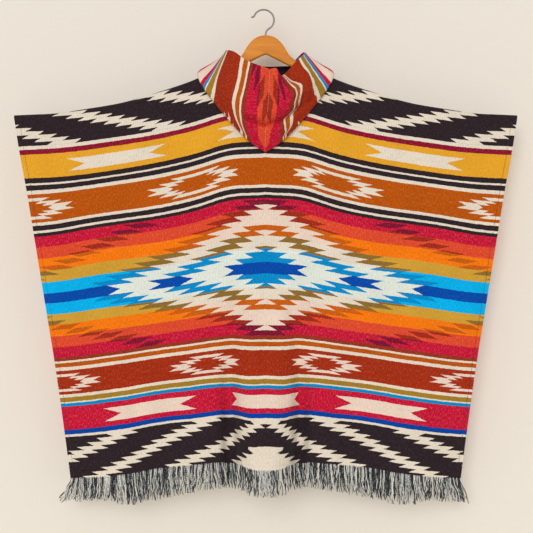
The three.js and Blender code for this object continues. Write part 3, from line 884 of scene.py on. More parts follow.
@dataclass(frozen=True)
class BlanketWeave:
    """The woven pattern, by a place's distance from the cloth's middle and its length from the shoulder."""

    across: Reading
    length: Reading

    def stepped(self, centre: float, cut: Serration) -> tuple[Reading, Reading]:
        """Step outwards from a centre line in rows.

        Args:
            centre: The length on the cloth of the motif's middle.
            cut: The rows' height, step and slant.

        Returns:
            How far each row's edge is drawn in, and the row's number.
        """
        rows = abs(self.length - centre) / cut.row
        number = rows.whole()
        inward = number * cut.step + ((rows - number) * -cut.slant + cut.slant)
        return inward, number

    def field(self) -> tuple[Reading, Reading]:
        """Draw the nested diamonds of the wide central field.

        Returns:
            Where the marks lie, and where the cream lies.
        """
        inward, number = self.stepped(FIELD_MIDDLE, FIELD_CUT)
        ring = self.across + inward
        inside = number.below(FIELD_ROWS)
        cream = ring.within(*INNER_CREAM).either(ring.within(*OUTER_CREAM))
        cream = cream.either(ring.below(OUTER_CREAM[0]) * number.above(TIP_ROWS))
        marks = ring.below(INNER_MARKS_END).either(ring.within(*OUTER_MARKS))
        return marks * inside, cream * inside

    def diamonds(
        self,
        centre: float,
        places: tuple[float, float],
        outer: float,
        inner: float,
        stretched: float,
    ) -> Reading:
        """Draw two stepped rings each side of the middle, with the band's own colour inside them.

        Args:
            centre: The length on the cloth of the rings' middle.
            places: The two rings' distances from the cloth's middle.
            outer: Half a ring's width.
            inner: Half its hollow's width.
            stretched: How much taller its rows are than usual.

        Returns:
            Where the rings lie.
        """
        first, second = (abs(self.across - place) for place in places)
        near = first.step("MINIMUM", second)
        inward, number = self.stepped(centre, RING_CUT.stretched(stretched))
        hollow, layer = self.stepped(centre, HOLLOW_CUT.stretched(stretched))
        ring = (near + inward).below(outer) * number.below(RING_ROWS)
        hole = (near + hollow).below(inner) * layer.below(RING_ROWS)
        return (ring - hole).either(0.0)

    def bars(
        self,
        top: float,
        bottom: float,
        side: tuple[float, float],
        middle: float,
        notches: tuple[float, float],
    ) -> Reading:
        """Draw bars with notched ends: one in the middle, and one each side of it.

        Args:
            top: The length on the cloth where the bars start.
            bottom: The length where they end.
            side: Where a side bar starts and ends, from the cloth's middle.
            middle: Half the middle bar's width.
            notches: How deep the side bars' notches are, and the middle bar's.

        Returns:
            Where the bars lie.
        """
        half = (bottom - top) / 2
        level = abs(self.length - (top + bottom) / 2) / half
        cut = level * -1 + 1
        long = (side[1] - side[0]) / 2
        beside = (abs(self.across - (side[0] + side[1]) / 2) + cut * notches[0]).below(long)
        centre = (self.across + cut * notches[1]).below(middle)
        return beside.either(centre) * level.below(1)

    def diagonals(self, away: Reading, first: float, width: float, cut: Serration) -> Reading:
        """Draw serrated diagonal bands.

        Args:
            away: The distance from the line where the bands start.
            first: Where the first band's edge starts, from the cloth's middle.
            width: The bands' width along the weft.
            cut: The rows' height, step and slant.

        Returns:
            Where the bands lie.
        """
        rows = away / cut.row
        number = rows.whole()
        edge = number * cut.step - (rows - number) * cut.slant + first
        return ((edge - self.across) % DIAGONAL_PITCH).below(width) * away.above(0)

    def lozenge(self) -> Reading:
        """Draw the stepped lozenge in the middle of the hem.

        Returns:
            Where the lozenge lies.
        """
        rows = (self.length - LOZENGE_START) / LOZENGE_CUT.row
        below = rows.either(0.0)
        edge = below.whole() * LOZENGE_CUT.step - below * LOZENGE_CUT.slant + LOZENGE_TIP_EDGE
        return self.across.below(edge) * rows.above(LOZENGE_TIP_ROWS)

    def cream(self) -> tuple[Reading, Reading]:
        """Draw all that is woven in cream or in the darker marks over the stripes.

        Returns:
            Where the marks lie, and where the cream lies.
        """
        marks, cream = self.field()
        yellow = self.bars(top=110, bottom=138, side=(216, 433), middle=106, notches=(38, 45))
        crimson = self.bars(top=711, bottom=742, side=(179, 420), middle=67, notches=(44, 24))
        orange = self.diamonds(centre=224.3, places=(157, 540), outer=109, inner=62, stretched=1.19)
        rust = self.diamonds(centre=641.4, places=(148, 515), outer=97, inner=52, stretched=0.97)
        above_stripes = self.length * -1 + STRIPES[0].ends
        below_stripes = self.length - STRIPES[-2].ends
        top = self.diagonals(above_stripes, first=246, width=60, cut=SHOULDER_CUT)
        bottom = self.diagonals(below_stripes, first=195.5, width=65, cut=HEM_CUT)
        for part in (yellow, crimson, orange, rust, top, bottom, self.lozenge()):
            cream = cream.either(part)
        return marks, cream


@dataclass(frozen=True)
class BrushedBlanket:
    """Brushed cotton and acrylic blanket, weft-faced: a dry, matt face with a short pale nap.

    The stripes show slightly uneven edges, small flecks of paler fibre and a fine cross-weave of ribs, with
    painted shade in the ribs' hollows and painted light on their crests.
    """

    name: str
    rib: float = 4.2  # one warp rib; the real 2 mm is drawn twice as coarse, so that it shows
    pick: float = 2.6  # one weft pick, drawn coarser than the real 1.2 mm for the same reason
    fleck: float = 2.9  # a tuft of fibre
    fleck_squeeze: float = 0.42  # which makes a tuft longer down the cloth than across it
    patch: float = 70.0  # a broad patch of uneven dye
    nap_height: float = 0.55 * MM
    rib_share: float = 0.22  # of the nap's height that the cross-weave gives, and the loose fibre
    nap_share: float = 0.9
    wander: tuple[float, float] = (9.0, 2.4)  # how far the pattern's edges stray, across and down the cloth
    fleck_shade: float = 0.5
    # painted shade in the hollows between the warp ribs and painted light on their crests, as a share of the
    # colour
    rib_painted_shade: float = 0.06
    patch_shade: float = 0.2
    worn_fibre: str = "E3B9A8"  # the pale fibre that shows most in the reds
    worn_in_red: float = 0.9
    worn_elsewhere: float = 0.08

    def stripes(self, tree: bpy.types.NodeTree, length: Reading, table: Sequence[Stripe]) -> object:
        """Colour the cloth by a table of stripes.

        Args:
            tree: The material's node tree.
            length: The length on the cloth.
            table: The stripes, in order.

        Returns:
            A colour socket.
        """
        colour = None
        starts = [0.0] + [stripe.ends for stripe in table[:-1]]
        for first in range(0, RAMP_END, RAMP_LENGTH):
            ramp = add_node(tree, "ValToRGB", ((length - first) / RAMP_LENGTH,))
            ramp.color_ramp.interpolation = "CONSTANT"
            shown = [
                (max(start - first, 0) / RAMP_LENGTH, stripe.dye.value)
                for start, stripe in zip(starts, table)
                if start < first + RAMP_LENGTH and stripe.ends > first
            ]
            set_stops(ramp, shown)
            if colour is None:
                colour = ramp.outputs[0]
            else:
                later = length.above(first)
                mixed = add_node(tree, "Mix", {0: later, 6: colour, 7: ramp.outputs[0]}, data_type="RGBA")
                colour = mixed.outputs[2]
        return colour

    def make(self) -> bpy.types.Material:
        """Make the material, from the uv map of the pattern and the one of the cut cloth.

        Returns:
            The material.
        """
        material, tree = start_material(self.name)
        cut = add_node(tree, "UVMap", uv_map="cut").outputs[0]
        place = add_node(tree, "VectorMath", {0: cut, "Scale": 1 / MM}, operation="SCALE").outputs[0]
        stray = add_node(tree, "TexNoise", {"Vector": place, "Scale": 0.11, "Detail": 2.0})
        shift = add_node(tree, "SeparateXYZ", (stray.outputs["Color"],))
        weave = add_node(tree, "UVMap", uv_map="weave")
        parts = add_node(tree, "SeparateXYZ", (weave.outputs[0],))
        across, length = (
            Reading(tree, parts.outputs[i]) / MM + (Reading(tree, shift.outputs[i]) - 0.5) * self.wander[i]
            for i in (0, 1)
        )
        marks, cream = BlanketWeave(across, length).cream()
        colour = self.stripes(tree, length, STRIPES)
        for mask, table in ((marks, MARK_STRIPES), (cream, CREAM_STRIPES)):
            over = self.stripes(tree, length, table)
            mixed = add_node(tree, "Mix", {0: mask, 6: colour, 7: over}, data_type="RGBA")
            colour = mixed.outputs[2]
        colour = self.heather(tree, place, colour)
        bump = add_node(
            tree,
            "Bump",
            {"Strength": 0.38, "Distance": self.nap_height, "Height": self.ribs(tree, place)},
        )
        shader = add_node(
            tree,
            "BsdfPrincipled",
            {
                "Base Color": colour,
                "Roughness": 0.94,
                "IOR": 1.45,
                "Specular IOR Level": 0.08,
                "Sheen Weight": 0.04,
                "Sheen Roughness": 0.5,
                "Normal": bump.outputs[0],
            },
        )
        add_node(tree, "OutputMaterial", (shader.outputs[0],))
        return material

    def heather(self, tree: bpy.types.NodeTree, place: object, colour: object) -> object:
        """Mottle a colour with flecks of paler and darker fibre and with a broad unevenness, and paint shade
        in the hollows between the warp ribs and light on their crests.

        Args:
            tree: The material's node tree.
            place: The place on the cut cloth, in millimetres.
            colour: The dyed colour.

        Returns:
            A colour socket.
        """
        squeeze = (1.0, self.fleck_squeeze, 1.0)
        drawn = add_node(tree, "VectorMath", (place, squeeze), operation="MULTIPLY").outputs[0]
        fibre = add_node(tree, "TexNoise", {"Vector": drawn, "Scale": 1 / self.fleck, "Detail": 2.0})
        patch = add_node(tree, "TexNoise", {"Vector": place, "Scale": 1 / self.patch, "Detail": 1.0})
        parts = add_node(tree, "SeparateXYZ", (place,))
        rib = (Reading(tree, parts.outputs[0]) * (2 * math.pi / self.rib)).step("SINE")
        # the rib term is painted shade between the warp ribs and painted light on their crests
        bright = (Reading(tree, fibre.outputs[0]) - 0.5) * self.fleck_shade + rib * self.rib_painted_shade
        bright = bright + (Reading(tree, patch.outputs[0]) - 0.5) * self.patch_shade + 1.0
        toned = add_node(tree, "VectorMath", {0: colour, "Scale": bright}, operation="SCALE").outputs[0]
        dyes = add_node(tree, "SeparateColor", (colour,))
        red = Reading(tree, dyes.outputs[0]) * (Reading(tree, dyes.outputs[1]) * -3 + 1).either(0.0)
        pale = (Reading(tree, fibre.outputs[0]) - 0.5) * (red * self.worn_in_red + self.worn_elsewhere)
        lifted = add_node(
            tree,
            "Mix",
            {0: pale, 6: toned, 7: linear(self.worn_fibre)},
            data_type="RGBA",
            clamp_factor=True,
        )
        return lifted.outputs[2]

    def ribs(self, tree: bpy.types.NodeTree, place: object) -> Reading:
        """Weave the ribs and picks and brush up their nap.

        Args:
            tree: The material's node tree.
            place: The place on the cut cloth, in millimetres.

        Returns:
            The height of the cloth's face, from 0 to about 1.
        """
        parts = add_node(tree, "SeparateXYZ", (place,))
        warp = (Reading(tree, parts.outputs[0]) * (2 * math.pi / self.rib)).step("SINE")
        weft = (Reading(tree, parts.outputs[1]) * (2 * math.pi / self.pick)).step("SINE")
        nap = add_node(tree, "TexNoise", {"Vector": place, "Scale": 0.32, "Detail": 3.0})
        return warp * weft * self.rib_share + Reading(tree, nap.outputs[0]) * self.nap_share


@dataclass(frozen=True)
class TwistedYarn:
    """Marled two-ply yarn in grey, cream and near black: soft, matt and streaked along its twist."""

    name: str = "marled_two_ply_yarn"
    pitch: float = 5.0  # one turn of the twist
    shades: tuple[tuple[float, str], ...] = (
        (0.0, "141A20"),
        (0.3, "2E383F"),
        (0.55, "868E92"),
        (0.8, "C4C7C4"),
        (1.0, "EEECE2"),
    )

    def make(self) -> bpy.types.Material:
        """Make the material, from the yarns' own uv map and their two shades.

        Returns:
            The material.
        """
        material, tree = start_material(self.name)
        run = add_node(tree, "UVMap", uv_map="run")
        parts = add_node(tree, "SeparateXYZ", (run.outputs[0],))
        around = Reading(tree, parts.outputs[0])
        down = Reading(tree, parts.outputs[1]) / MM
        twist = around + down / self.pitch
        shades = add_node(tree, "Attribute", attribute_name="shades", attribute_type="GEOMETRY")
        pair = add_node(tree, "SeparateXYZ", (shades.outputs["Vector"],))
        ply = (twist % 1.0).above(0.5)
        spot = add_node(tree, "TexCoord").outputs["Object"]
        noise = add_node(tree, "TexNoise", {"Vector": spot, "Scale": 340.0, "Detail": 2.0})
        shade = Reading(tree, pair.outputs[0]) * (ply * -1 + 1.0) + Reading(tree, pair.outputs[1]) * ply
        shade = shade + (Reading(tree, noise.outputs[0]) - 0.46) * 1.3
        ramp = add_node(tree, "ValToRGB", (shade,))
        set_stops(ramp, self.shades)
        ridge = (twist * (4 * math.pi)).step("COSINE")
        bump = add_node(tree, "Bump", {"Strength": 0.6, "Distance": 0.5 * MM, "Height": ridge})
        shader = add_node(
            tree,
            "BsdfPrincipled",
            {
                "Base Color": ramp.outputs[0],
                "Roughness": 0.92,
                "IOR": 1.45,
                "Specular IOR Level": 0.2,
                "Sheen Weight": 0.2,
                "Sheen Roughness": 0.5,
                "Normal": bump.outputs[0],
            },
        )
        add_node(tree, "OutputMaterial", (shader.outputs[0],))
        return material


@dataclass(frozen=True)
class VarnishedWood:
    """Clear-varnished beech: honey-coloured, with fine long grain, short dark flecks and a soft gloss."""

    name: str = "varnished_honey_beech"
    pale: str = "EC981C"
    warm: str = "D67C12"
    dark: str = "9A5519"

    def make(self) -> bpy.types.Material:
        """Make the material, with the grain along the hanger.

        Returns:
            The material.
        """
        material, tree = start_material(self.name)
        place = add_node(tree, "TexCoord").outputs["Object"]
        broad = add_node(tree, "Mapping", {"Vector": place, "Scale": (5.0, 30.0, 42.0)})
        grain = {"Vector": broad.outputs[0], "Scale": 1.0, "Detail": 4.0, "Distortion": 0.6}
        rings = add_node(tree, "TexNoise", grain)
        fine = add_node(tree, "Mapping", {"Vector": place, "Scale": (40.0, 900.0, 900.0)})
        fibre = add_node(tree, "TexNoise", {"Vector": fine.outputs[0], "Scale": 1.0, "Detail": 3.0})
        base = add_node(tree, "ValToRGB", (rings.outputs[0],))
        set_stops(base, ((0.3, self.warm), (0.7, self.pale)))
        streak = (Reading(tree, fibre.outputs[0]) - 0.52) * 1.5
        colour = add_node(
            tree,
            "Mix",
            {0: streak, 6: base.outputs[0], 7: linear(self.dark)},
            data_type="RGBA",
            clamp_factor=True,
        )
        bump = add_node(tree, "Bump", {"Strength": 0.15, "Distance": 0.2 * MM, "Height": fibre.outputs[0]})
        shader = add_node(
            tree,
            "BsdfPrincipled",
            {
                "Base Color": colour.outputs[2],
                "Roughness": 0.5,
                "IOR": 1.5,
                "Specular IOR Level": 0.2,
                "Coat Weight": 0.08,
                "Coat Roughness": 0.2,
                "Normal": bump.outputs[0],
            },
        )
        add_node(tree, "OutputMaterial", (shader.outputs[0],))
        return material


@dataclass(frozen=True)
class DrawnWire:
    """Drawn steel wire, plain and grey, with a fine tooth left by the drawing and dull handling spots."""

    name: str = "drawn_steel_wire"

    def make(self) -> bpy.types.Material:
        """Make the material.

        Returns:
            The material.
        """
        material, tree = start_material(self.name)
        place = add_node(tree, "TexCoord").outputs["Object"]
        spots = add_node(tree, "TexNoise", {"Vector": place, "Scale": 160.0, "Detail": 3.0})
        rough = Reading(tree, spots.outputs[0]) * 0.3 + 0.2
        scratches = add_node(tree, "TexNoise", {"Vector": place, "Scale": 1400.0, "Detail": 2.0})
        height = scratches.outputs[0]
        bump = add_node(tree, "Bump", {"Strength": 0.15, "Distance": 0.05 * MM, "Height": height})
        colour = add_node(
            tree,
            "Mix",
            {0: spots.outputs[0], 6: linear("8B8887"), 7: linear("6D6A69")},
            data_type="RGBA",
        )
        shader = add_node(
            tree,
            "BsdfPrincipled",
            {
                "Base Color": colour.outputs[2],
                "Metallic": 1.0,
                "Roughness": rough,
                "Normal": bump.outputs[0],
            },
        )
        add_node(tree, "OutputMaterial", (shader.outputs[0],))
        return material


@dataclass(frozen=True)
class SewingThread:
    """Spun polyester sewing thread: matt, with uneven fibre that only shows close to."""

    name: str
    hex_colour: str

    def make(self) -> bpy.types.Material:
        """Make the material.

        Returns:
            The material.
        """
        material, tree = start_material(self.name)
        place = add_node(tree, "TexCoord").outputs["Object"]
        fibre = add_node(tree, "TexNoise", {"Vector": place, "Scale": 1500.0, "Detail": 2.0})
        bright = (Reading(tree, fibre.outputs[0]) - 0.5) * 0.5 + 1.0
        shaded = add_node(
            tree, "VectorMath", {0: linear(self.hex_colour)[:3], "Scale": bright}, operation="SCALE"
        )
        shader = add_node(
            tree,
            "BsdfPrincipled",
            {"Base Color": shaded.outputs[0], "Roughness": 0.8, "Sheen Weight": 0.1},
        )
        add_node(tree, "OutputMaterial", (shader.outputs[0],))
        return material


@dataclass(frozen=True)
class MattPaint:
    """Matt emulsion paint on plaster, for the studio's wall and floor: no gloss and no sheen."""

    name: str
    hex_colour: str
    one_sided: bool = False  # clear from behind, so that the wall doesn't hide the garment's other side

    def make(self) -> bpy.types.Material:
        """Make the material.

        Returns:
            The material.
        """
        material, tree = start_material(self.name)
        look = {"Base Color": linear(self.hex_colour), "Roughness": 1.0, "Specular IOR Level": 0.0}
        shader = add_node(tree, "BsdfPrincipled", look).outputs[0]
        if self.one_sided:
            behind = add_node(tree, "NewGeometry").outputs["Backfacing"]
            clear = add_node(tree, "BsdfTransparent").outputs[0]
            shader = add_node(tree, "MixShader", (behind, shader, clear)).outputs[0]
        add_node(tree, "OutputMaterial", (shader,))
        return material


# ----- Meshes -----


def grid_faces(rows: int, columns: int, flip: bool) -> Array:
    """Give the quads of a grid of points.

    Args:
        rows: How many rows of points there are.
        columns: How many points a row has.
        flip: Whether the quads face the other way.

    Returns:
        The four points' numbers of each quad.
    """
    index = np.arange(rows * columns).reshape(rows, columns)
    quads = np.stack([index[:-1, :-1], index[1:, :-1], index[1:, 1:], index[:-1, 1:]], -1).reshape(-1, 4)
    return quads[:, ::-1] if flip else quads


def mesh_object(
    name: str,
    points: Array,
    faces: Array | list,
    maps: Mapping[str, Array],
    material: bpy.types.Material,
) -> bpy.types.Object:
    """Make a smooth mesh object at the origin.

    Args:
        name: The piece's name.
        points: Its points in millimetres, from the garment's middle.
        faces: Its faces, by the points' numbers.
        maps: A uv map in millimetres for each name, by the points.
        material: Its material.

    Returns:
        The new object.
    """
    mesh = bpy.data.meshes.new(name)
    placed = (np.asarray(points).reshape(-1, 3) + (MIDDLE_X, 0, 0)) * MM
    mesh.from_pydata(placed.tolist(), [], np.asarray(faces).tolist())
    corner = np.zeros(len(mesh.loops), int)
    mesh.loops.foreach_get("vertex_index", corner)
    for map_name, values in maps.items():
        layer = mesh.uv_layers.new(name=map_name)
        layer.data.foreach_set("uv", (values.reshape(-1, 2)[corner] * MM).astype(np.float32).ravel())
    mesh.polygons.foreach_set("use_smooth", [True] * len(mesh.polygons))
    mesh.materials.append(material)
    made = bpy.data.objects.new(name, mesh)
    bpy.context.scene.collection.objects.link(made)
    return made


def pick_only(piece: bpy.types.Object) -> None:
    """Select one object, and nothing else, for the operators that follow.

    Args:
        piece: The object.
    """
    bpy.ops.object.select_all(action="DESELECT")
    piece.select_set(True)
    bpy.context.view_layer.objects.active = piece


def thicken(piece: bpy.types.Object, thickness: float) -> None:
    """Turn a sheet into a wall, half of it each side of the sheet.

    Args:
        piece: The sheet.
        thickness: The wall's thickness in millimetres.
    """
    wall = piece.modifiers.new("wall", "SOLIDIFY")
    wall.thickness = thickness * MM
    wall.offset = 0
    pick_only(piece)
    bpy.ops.object.modifier_apply(modifier=wall.name)
    bpy.ops.object.shade_smooth_by_angle(angle=math.radians(45))


def tubes(paths: Array, radii: Array, sides: int) -> tuple[Array, Array, Array]:
    """Draw closed tubes along paths.

    Args:
        paths: The middles of the tubes, shaped (tubes, steps, 3).
        radii: The radius at each step, shaped (tubes, steps).
        sides: How many sides a tube has.

    Returns:
        The points, the quads, and for each point the share round the tube and the length along it.
    """
    count, steps = radii.shape
    ahead = np.gradient(paths, axis=1)
    ahead /= np.linalg.norm(ahead, axis=2, keepdims=True)
    across = np.cross(ahead, np.array([0.02, 1.0, 0.01]))
    across /= np.linalg.norm(across, axis=2, keepdims=True)
    beside = np.cross(ahead, across)
    angles = np.linspace(0, 2 * math.pi, sides + 1)
    ring = across[:, :, None] * np.cos(angles)[:, None] + beside[:, :, None] * np.sin(angles)[:, None]
    points = paths[:, :, None] + ring * radii[:, :, None, None]
    points = np.concatenate([points, paths[:, [0, -1], None].repeat(sides + 1, axis=2)], axis=1)
    points = points[:, [steps, *range(steps), steps + 1]]
    lengths = np.concatenate(
        [np.zeros((count, 1)), np.cumsum(np.linalg.norm(np.diff(paths, axis=1), axis=2), axis=1)], axis=1
    )
    lengths = lengths[:, [0, *range(steps), steps - 1]]
    shares = np.broadcast_to(np.linspace(0, 1, sides + 1), points.shape[:3])
    run = np.stack([shares, np.broadcast_to(lengths[:, :, None], shares.shape)], -1)
    one = grid_faces(steps + 2, sides + 1, False)
    faces = (one[None] + (np.arange(count) * (steps + 2) * (sides + 1))[:, None, None]).reshape(-1, 4)
    return points.reshape(-1, 3), faces, run.reshape(-1, 2)


def close_up(piece: bpy.types.Object) -> None:
    """Merge doubled points and turn the faces outwards.

    Args:
        piece: The piece.
    """
    pick_only(piece)
    bpy.ops.object.mode_set(mode="EDIT")
    bpy.ops.mesh.select_all(action="SELECT")
    bpy.ops.mesh.remove_doubles(threshold=0.00002)
    bpy.ops.mesh.normals_make_consistent(inside=False)
    bpy.ops.object.mode_set(mode="OBJECT")


def declare(piece: bpy.types.Object, slot: str, *nodes: str) -> bpy.types.Object:
    """Let a piece ride on the garment's one body and stand for CAD nodes, which it hides.

    Args:
        piece: The piece.
        slot: The name of its material slot; not used.
        *nodes: The CAD nodes that it stands for, if any.

    Returns:
        The same piece.
    """
    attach(piece, "root")
    if nodes:
        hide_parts(*nodes)
    triangles = sum(len(polygon.vertices) - 2 for polygon in piece.data.polygons)
    LOG.info("%s: %d triangles", piece.name, triangles)
    return piece


# ----- The garment's pieces -----


@dataclass
class BlanketPanel:
    """The back or the front: a blanket panel that hangs from the shoulders to its hem."""

    name: str
    cloth: HangingCloth
    material: bpy.types.Material
    neck_columns: int = 26
    side_columns: int = 84
    bend_rows: int = 8
    least_bend: float = 12.0
    row_height: float = 7.5
    near_rows: int = 5
    near_end: float = 60.0  # the length on the cloth where the rows are evenly spaced from
    hem_inset: float = 12.0  # of the stitching along a side edge
    hem_depth: float = 0.8
    hem_columns: tuple[float, ...] = (-2.4, -1.2, 0, 1.2, 2.4)  # from the stitching
    hem_clear: float = 0.006  # the share of the half width each side of it without other columns

    def columns(self) -> Array:
        """Place the panel's columns, which are closer at the neck and along the side hems.

        Returns:
            The shares of the half width, from -1 to 1.
        """
        neck = NECK_END * np.sin(np.linspace(0, math.pi / 2, self.neck_columns))
        side = np.linspace(NECK_END, 1, self.side_columns)[1:]
        inset = self.hem_inset / CORNER_REACH
        hem = 1 - inset + np.array(self.hem_columns) / CORNER_REACH
        half = np.unique(np.concatenate([neck, side[np.abs(side - 1 + inset) > self.hem_clear], hem]))
        return np.concatenate([-half[:0:-1], half])

    def flats(self, across: Array) -> Array:
        """Place the panel's rows, which are closer over the shoulder.

        Args:
            across: The columns' shares of the half width.

        Returns:
            The lengths on the cut cloth, shaped (rows, columns).
        """
        top = self.cloth.top_flat(across)
        end = np.maximum(self.cloth.bend_end(across), top + self.least_bend)
        bend = np.linspace(0, 1, self.bend_rows + 1)[:, None] * (end - top) + top
        near = np.linspace(0, 1, self.near_rows + 1)[1:, None] * (self.near_end - end) + end
        count = int((HEM_FLAT - self.near_end) / self.row_height)
        below = np.linspace(self.near_end, HEM_FLAT, count + 1)[1:, None] + 0 * across
        return np.concatenate([bend, near, below])

    def weave(self, across: Array, flat: Array) -> Array:
        """Place the panel's points on the woven pattern, shifted by the middle fold and drawn up by the hang.

        Args:
            across: The points' shares of the half width.
            flat: Their lengths on the cut cloth.

        Returns:
            The place across the pattern and the length on it, of each point.
        """
        wide = np.abs(across) * WEAVE_REACH
        opened = smooth((flat - FOLD_OPENS) / (FOLD_OPEN - FOLD_OPENS))
        past, shifted = (narrow + (wider - narrow) * opened for narrow, wider in (FOLD_PAST, FOLD_SHIFTS))
        x = wide - past * (1 - smooth(wide / shifted))
        i = np.clip(np.searchsorted(DRAWN_PLACES, wide, side="right") - 1, 0, len(DRAWN_PLACES) - 2)
        share = smooth((wide - DRAWN_PLACES[i]) / (DRAWN_PLACES[i + 1] - DRAWN_PLACES[i]))
        levels = np.stack([DRAWN.read("flat", name, flat) for name in DRAWN_NAMES])
        inner, outer = (np.take_along_axis(levels, column[None], 0)[0] for column in (i, i + 1))
        return np.stack([x, flat + inner + (outer - inner) * share], -1)

    def build(self) -> bpy.types.Object:
        """Build the panel.

        Returns:
            The panel's piece.
        """
        across = self.columns()
        flat = self.flats(across)
        wide = np.broadcast_to(across, flat.shape)
        points = self.cloth.point(wide, flat)
        edge = (1 - np.abs(wide)) * CORNER_REACH
        points[..., 1] -= self.cloth.toward * self.hem_depth * np.exp(-(((edge - self.hem_inset) / 2) ** 2))
        maps = {
            "weave": self.weave(wide, flat),
            "cut": np.stack([wide * CORNER_REACH, flat], -1),
        }
        faces = grid_faces(*flat.shape, flip=self.cloth.toward > 0)
        piece = mesh_object(self.name, points, faces, maps, self.material)
        thicken(piece, CLOTH)
        return piece


@dataclass
class YarnFringe:
    """The fringe on one hem: loose twisted yarn ends in two close rows."""

    name: str
    cloth: HangingCloth
    material: bpy.types.Material
    seed: int
    spacing: float = 2.6
    radius: float = 1.15
    layer_out: float = 1.1  # from the middle of the hem to each of the two rows
    steps: int = 9
    sides: int = 5
    end_share: float = 0.996  # of the half width, where the last yarns hang
    jitter: float = 0.8  # of the yarns' places along the hem
    clump: int = 6  # yarns that hang alike, in length and in lean
    clump_length: float = 0.025
    clump_lean: float = 3.2
    lengths: tuple[float, float] = (0.94, 0.06)  # a yarn's share of the full length: the mean and the spread
    shortest: float = 0.78
    longest: float = 1.01
    lean: float = 5.5
    flare: float = 22.0  # how far a corner's yarns spread sideways
    flare_from: float = 0.93
    waves: tuple[float, float] = (0.8, 2.3)  # the least and the most, here and below
    sway: tuple[float, float] = (1.0, 3.8)
    bulge: tuple[float, float] = (0.2, 0.8)
    thickness: tuple[float, float] = (0.85, 1.12)
    tones: tuple[float, ...] = (0.0, 0.22, 0.66, 1.0)
    tone_shares: tuple[float, ...] = (0.31, 0.15, 0.22, 0.32)
    marled: float = 0.3  # the share of yarns with two plainly different plies
    marl: tuple[float, float] = (-0.16, 0.05)  # half the difference of their plies, and of the others'
    tone_spread: float = 0.03

    def roots(self, across: Array) -> tuple[Array, Array, Array]:
        """Find where the yarns leave the hem.

        Args:
            across: The yarns' shares of the half width.

        Returns:
            The places, the way down the cloth there, and the way out of it.
        """
        count = len(across)
        base = self.cloth.point(across, np.full(count, HEM_FLAT - 2.0))
        above = self.cloth.point(across, np.full(count, HEM_FLAT - 40.0))
        down = base - above
        down[:, 0] = 0
        down /= np.linalg.norm(down, axis=1, keepdims=True)
        out = np.stack([np.zeros(count), -down[:, 2] * self.cloth.toward, down[:, 1] * self.cloth.toward], -1)
        return base, down, out

    def row(self, rng: np.random.Generator, layer: int) -> tuple[Array, Array, Array]:
        """Let one row of yarns hang from the hem.

        Args:
            rng: The source of their unevenness.
            layer: -1 for the row on the inside, and 1 for the one on the outside.

        Returns:
            The yarns' paths, their radii at each step, and the two shades of each.
        """
        half = float(LINES.read("flat", "reach", HEM_FLAT))
        count = int(2 * half / self.spacing)
        across = np.linspace(-self.end_share, self.end_share, count)
        across = across + (layer + 1) * 0.25 * self.spacing / half
        across = np.clip(across + rng.normal(0, self.jitter, count) / half, -0.999, 0.999)
        base, down, out = self.roots(across)
        reach = FRINGE_REACH.read("at", "reach", np.abs(across)) + 1.0
        clump = np.repeat(rng.normal(0, 1, count // self.clump + 1), self.clump)[:count]
        uneven = rng.normal(*self.lengths, count) + clump * self.clump_length
        reach = reach * np.clip(uneven, self.shortest, self.longest)
        spread = smooth((np.abs(across) - self.flare_from) / (1 - self.flare_from))
        lean = rng.normal(0, self.lean, count) + clump * self.clump_lean
        lean = np.sign(across) * spread * self.flare + lean
        t = np.linspace(0, 1, self.steps)[None, :]
        phase = rng.uniform(0, 2 * math.pi, (count, 1))
        waves = rng.uniform(*self.waves, (count, 1))
        sway = rng.uniform(*self.sway, (count, 1)) * np.sin(phase + waves * 2 * math.pi * t) * t**0.5
        bulge = rng.uniform(*self.bulge, (count, 1)) * np.cos(phase + waves * 5 * t)
        path = base[:, None] + down[:, None] * (t * reach[:, None])[..., None]
        path[..., 0] += lean[:, None] * t**1.2 + sway
        path += out[:, None] * (layer * self.layer_out + bulge)[..., None]
        thick = self.radius * rng.uniform(*self.thickness, (count, 1))
        radii = thick * (1 - 0.3 * t**3) * (1 + 0.06 * np.sin(phase * 3 + 9 * t))
        tone = rng.choice(self.tones, (count, 1), p=self.tone_shares)
        marl = np.where(rng.random((count, 1)) < self.marled, *self.marl) * (-1, 1)
        shades = np.clip(tone + marl + rng.normal(0, self.tone_spread, (count, 2)), 0, 1)
        return path, radii, shades

    def build(self) -> bpy.types.Object:
        """Build the fringe.

        Returns:
            The fringe's piece, with each point's two shades as an attribute.
        """
        rng = np.random.default_rng(self.seed)
        rows = [self.row(rng, layer) for layer in (-1, 1)]
        paths, radii, shades = (np.concatenate(part) for part in zip(*rows))
        points, faces, run = tubes(paths, radii, self.sides)
        run = run * (1 / MM, 1)
        piece = mesh_object(self.name, points, faces, {"run": run}, self.material)
        tone = shades.repeat(len(points) // len(paths), axis=0)
        tone = np.concatenate([tone, np.zeros((len(tone), 1))], 1).astype(np.float32)
        layer_data = piece.data.attributes.new("shades", "FLOAT_VECTOR", "POINT")
        layer_data.data.foreach_set("vector", tone.ravel())
        close_up(piece)
        return piece


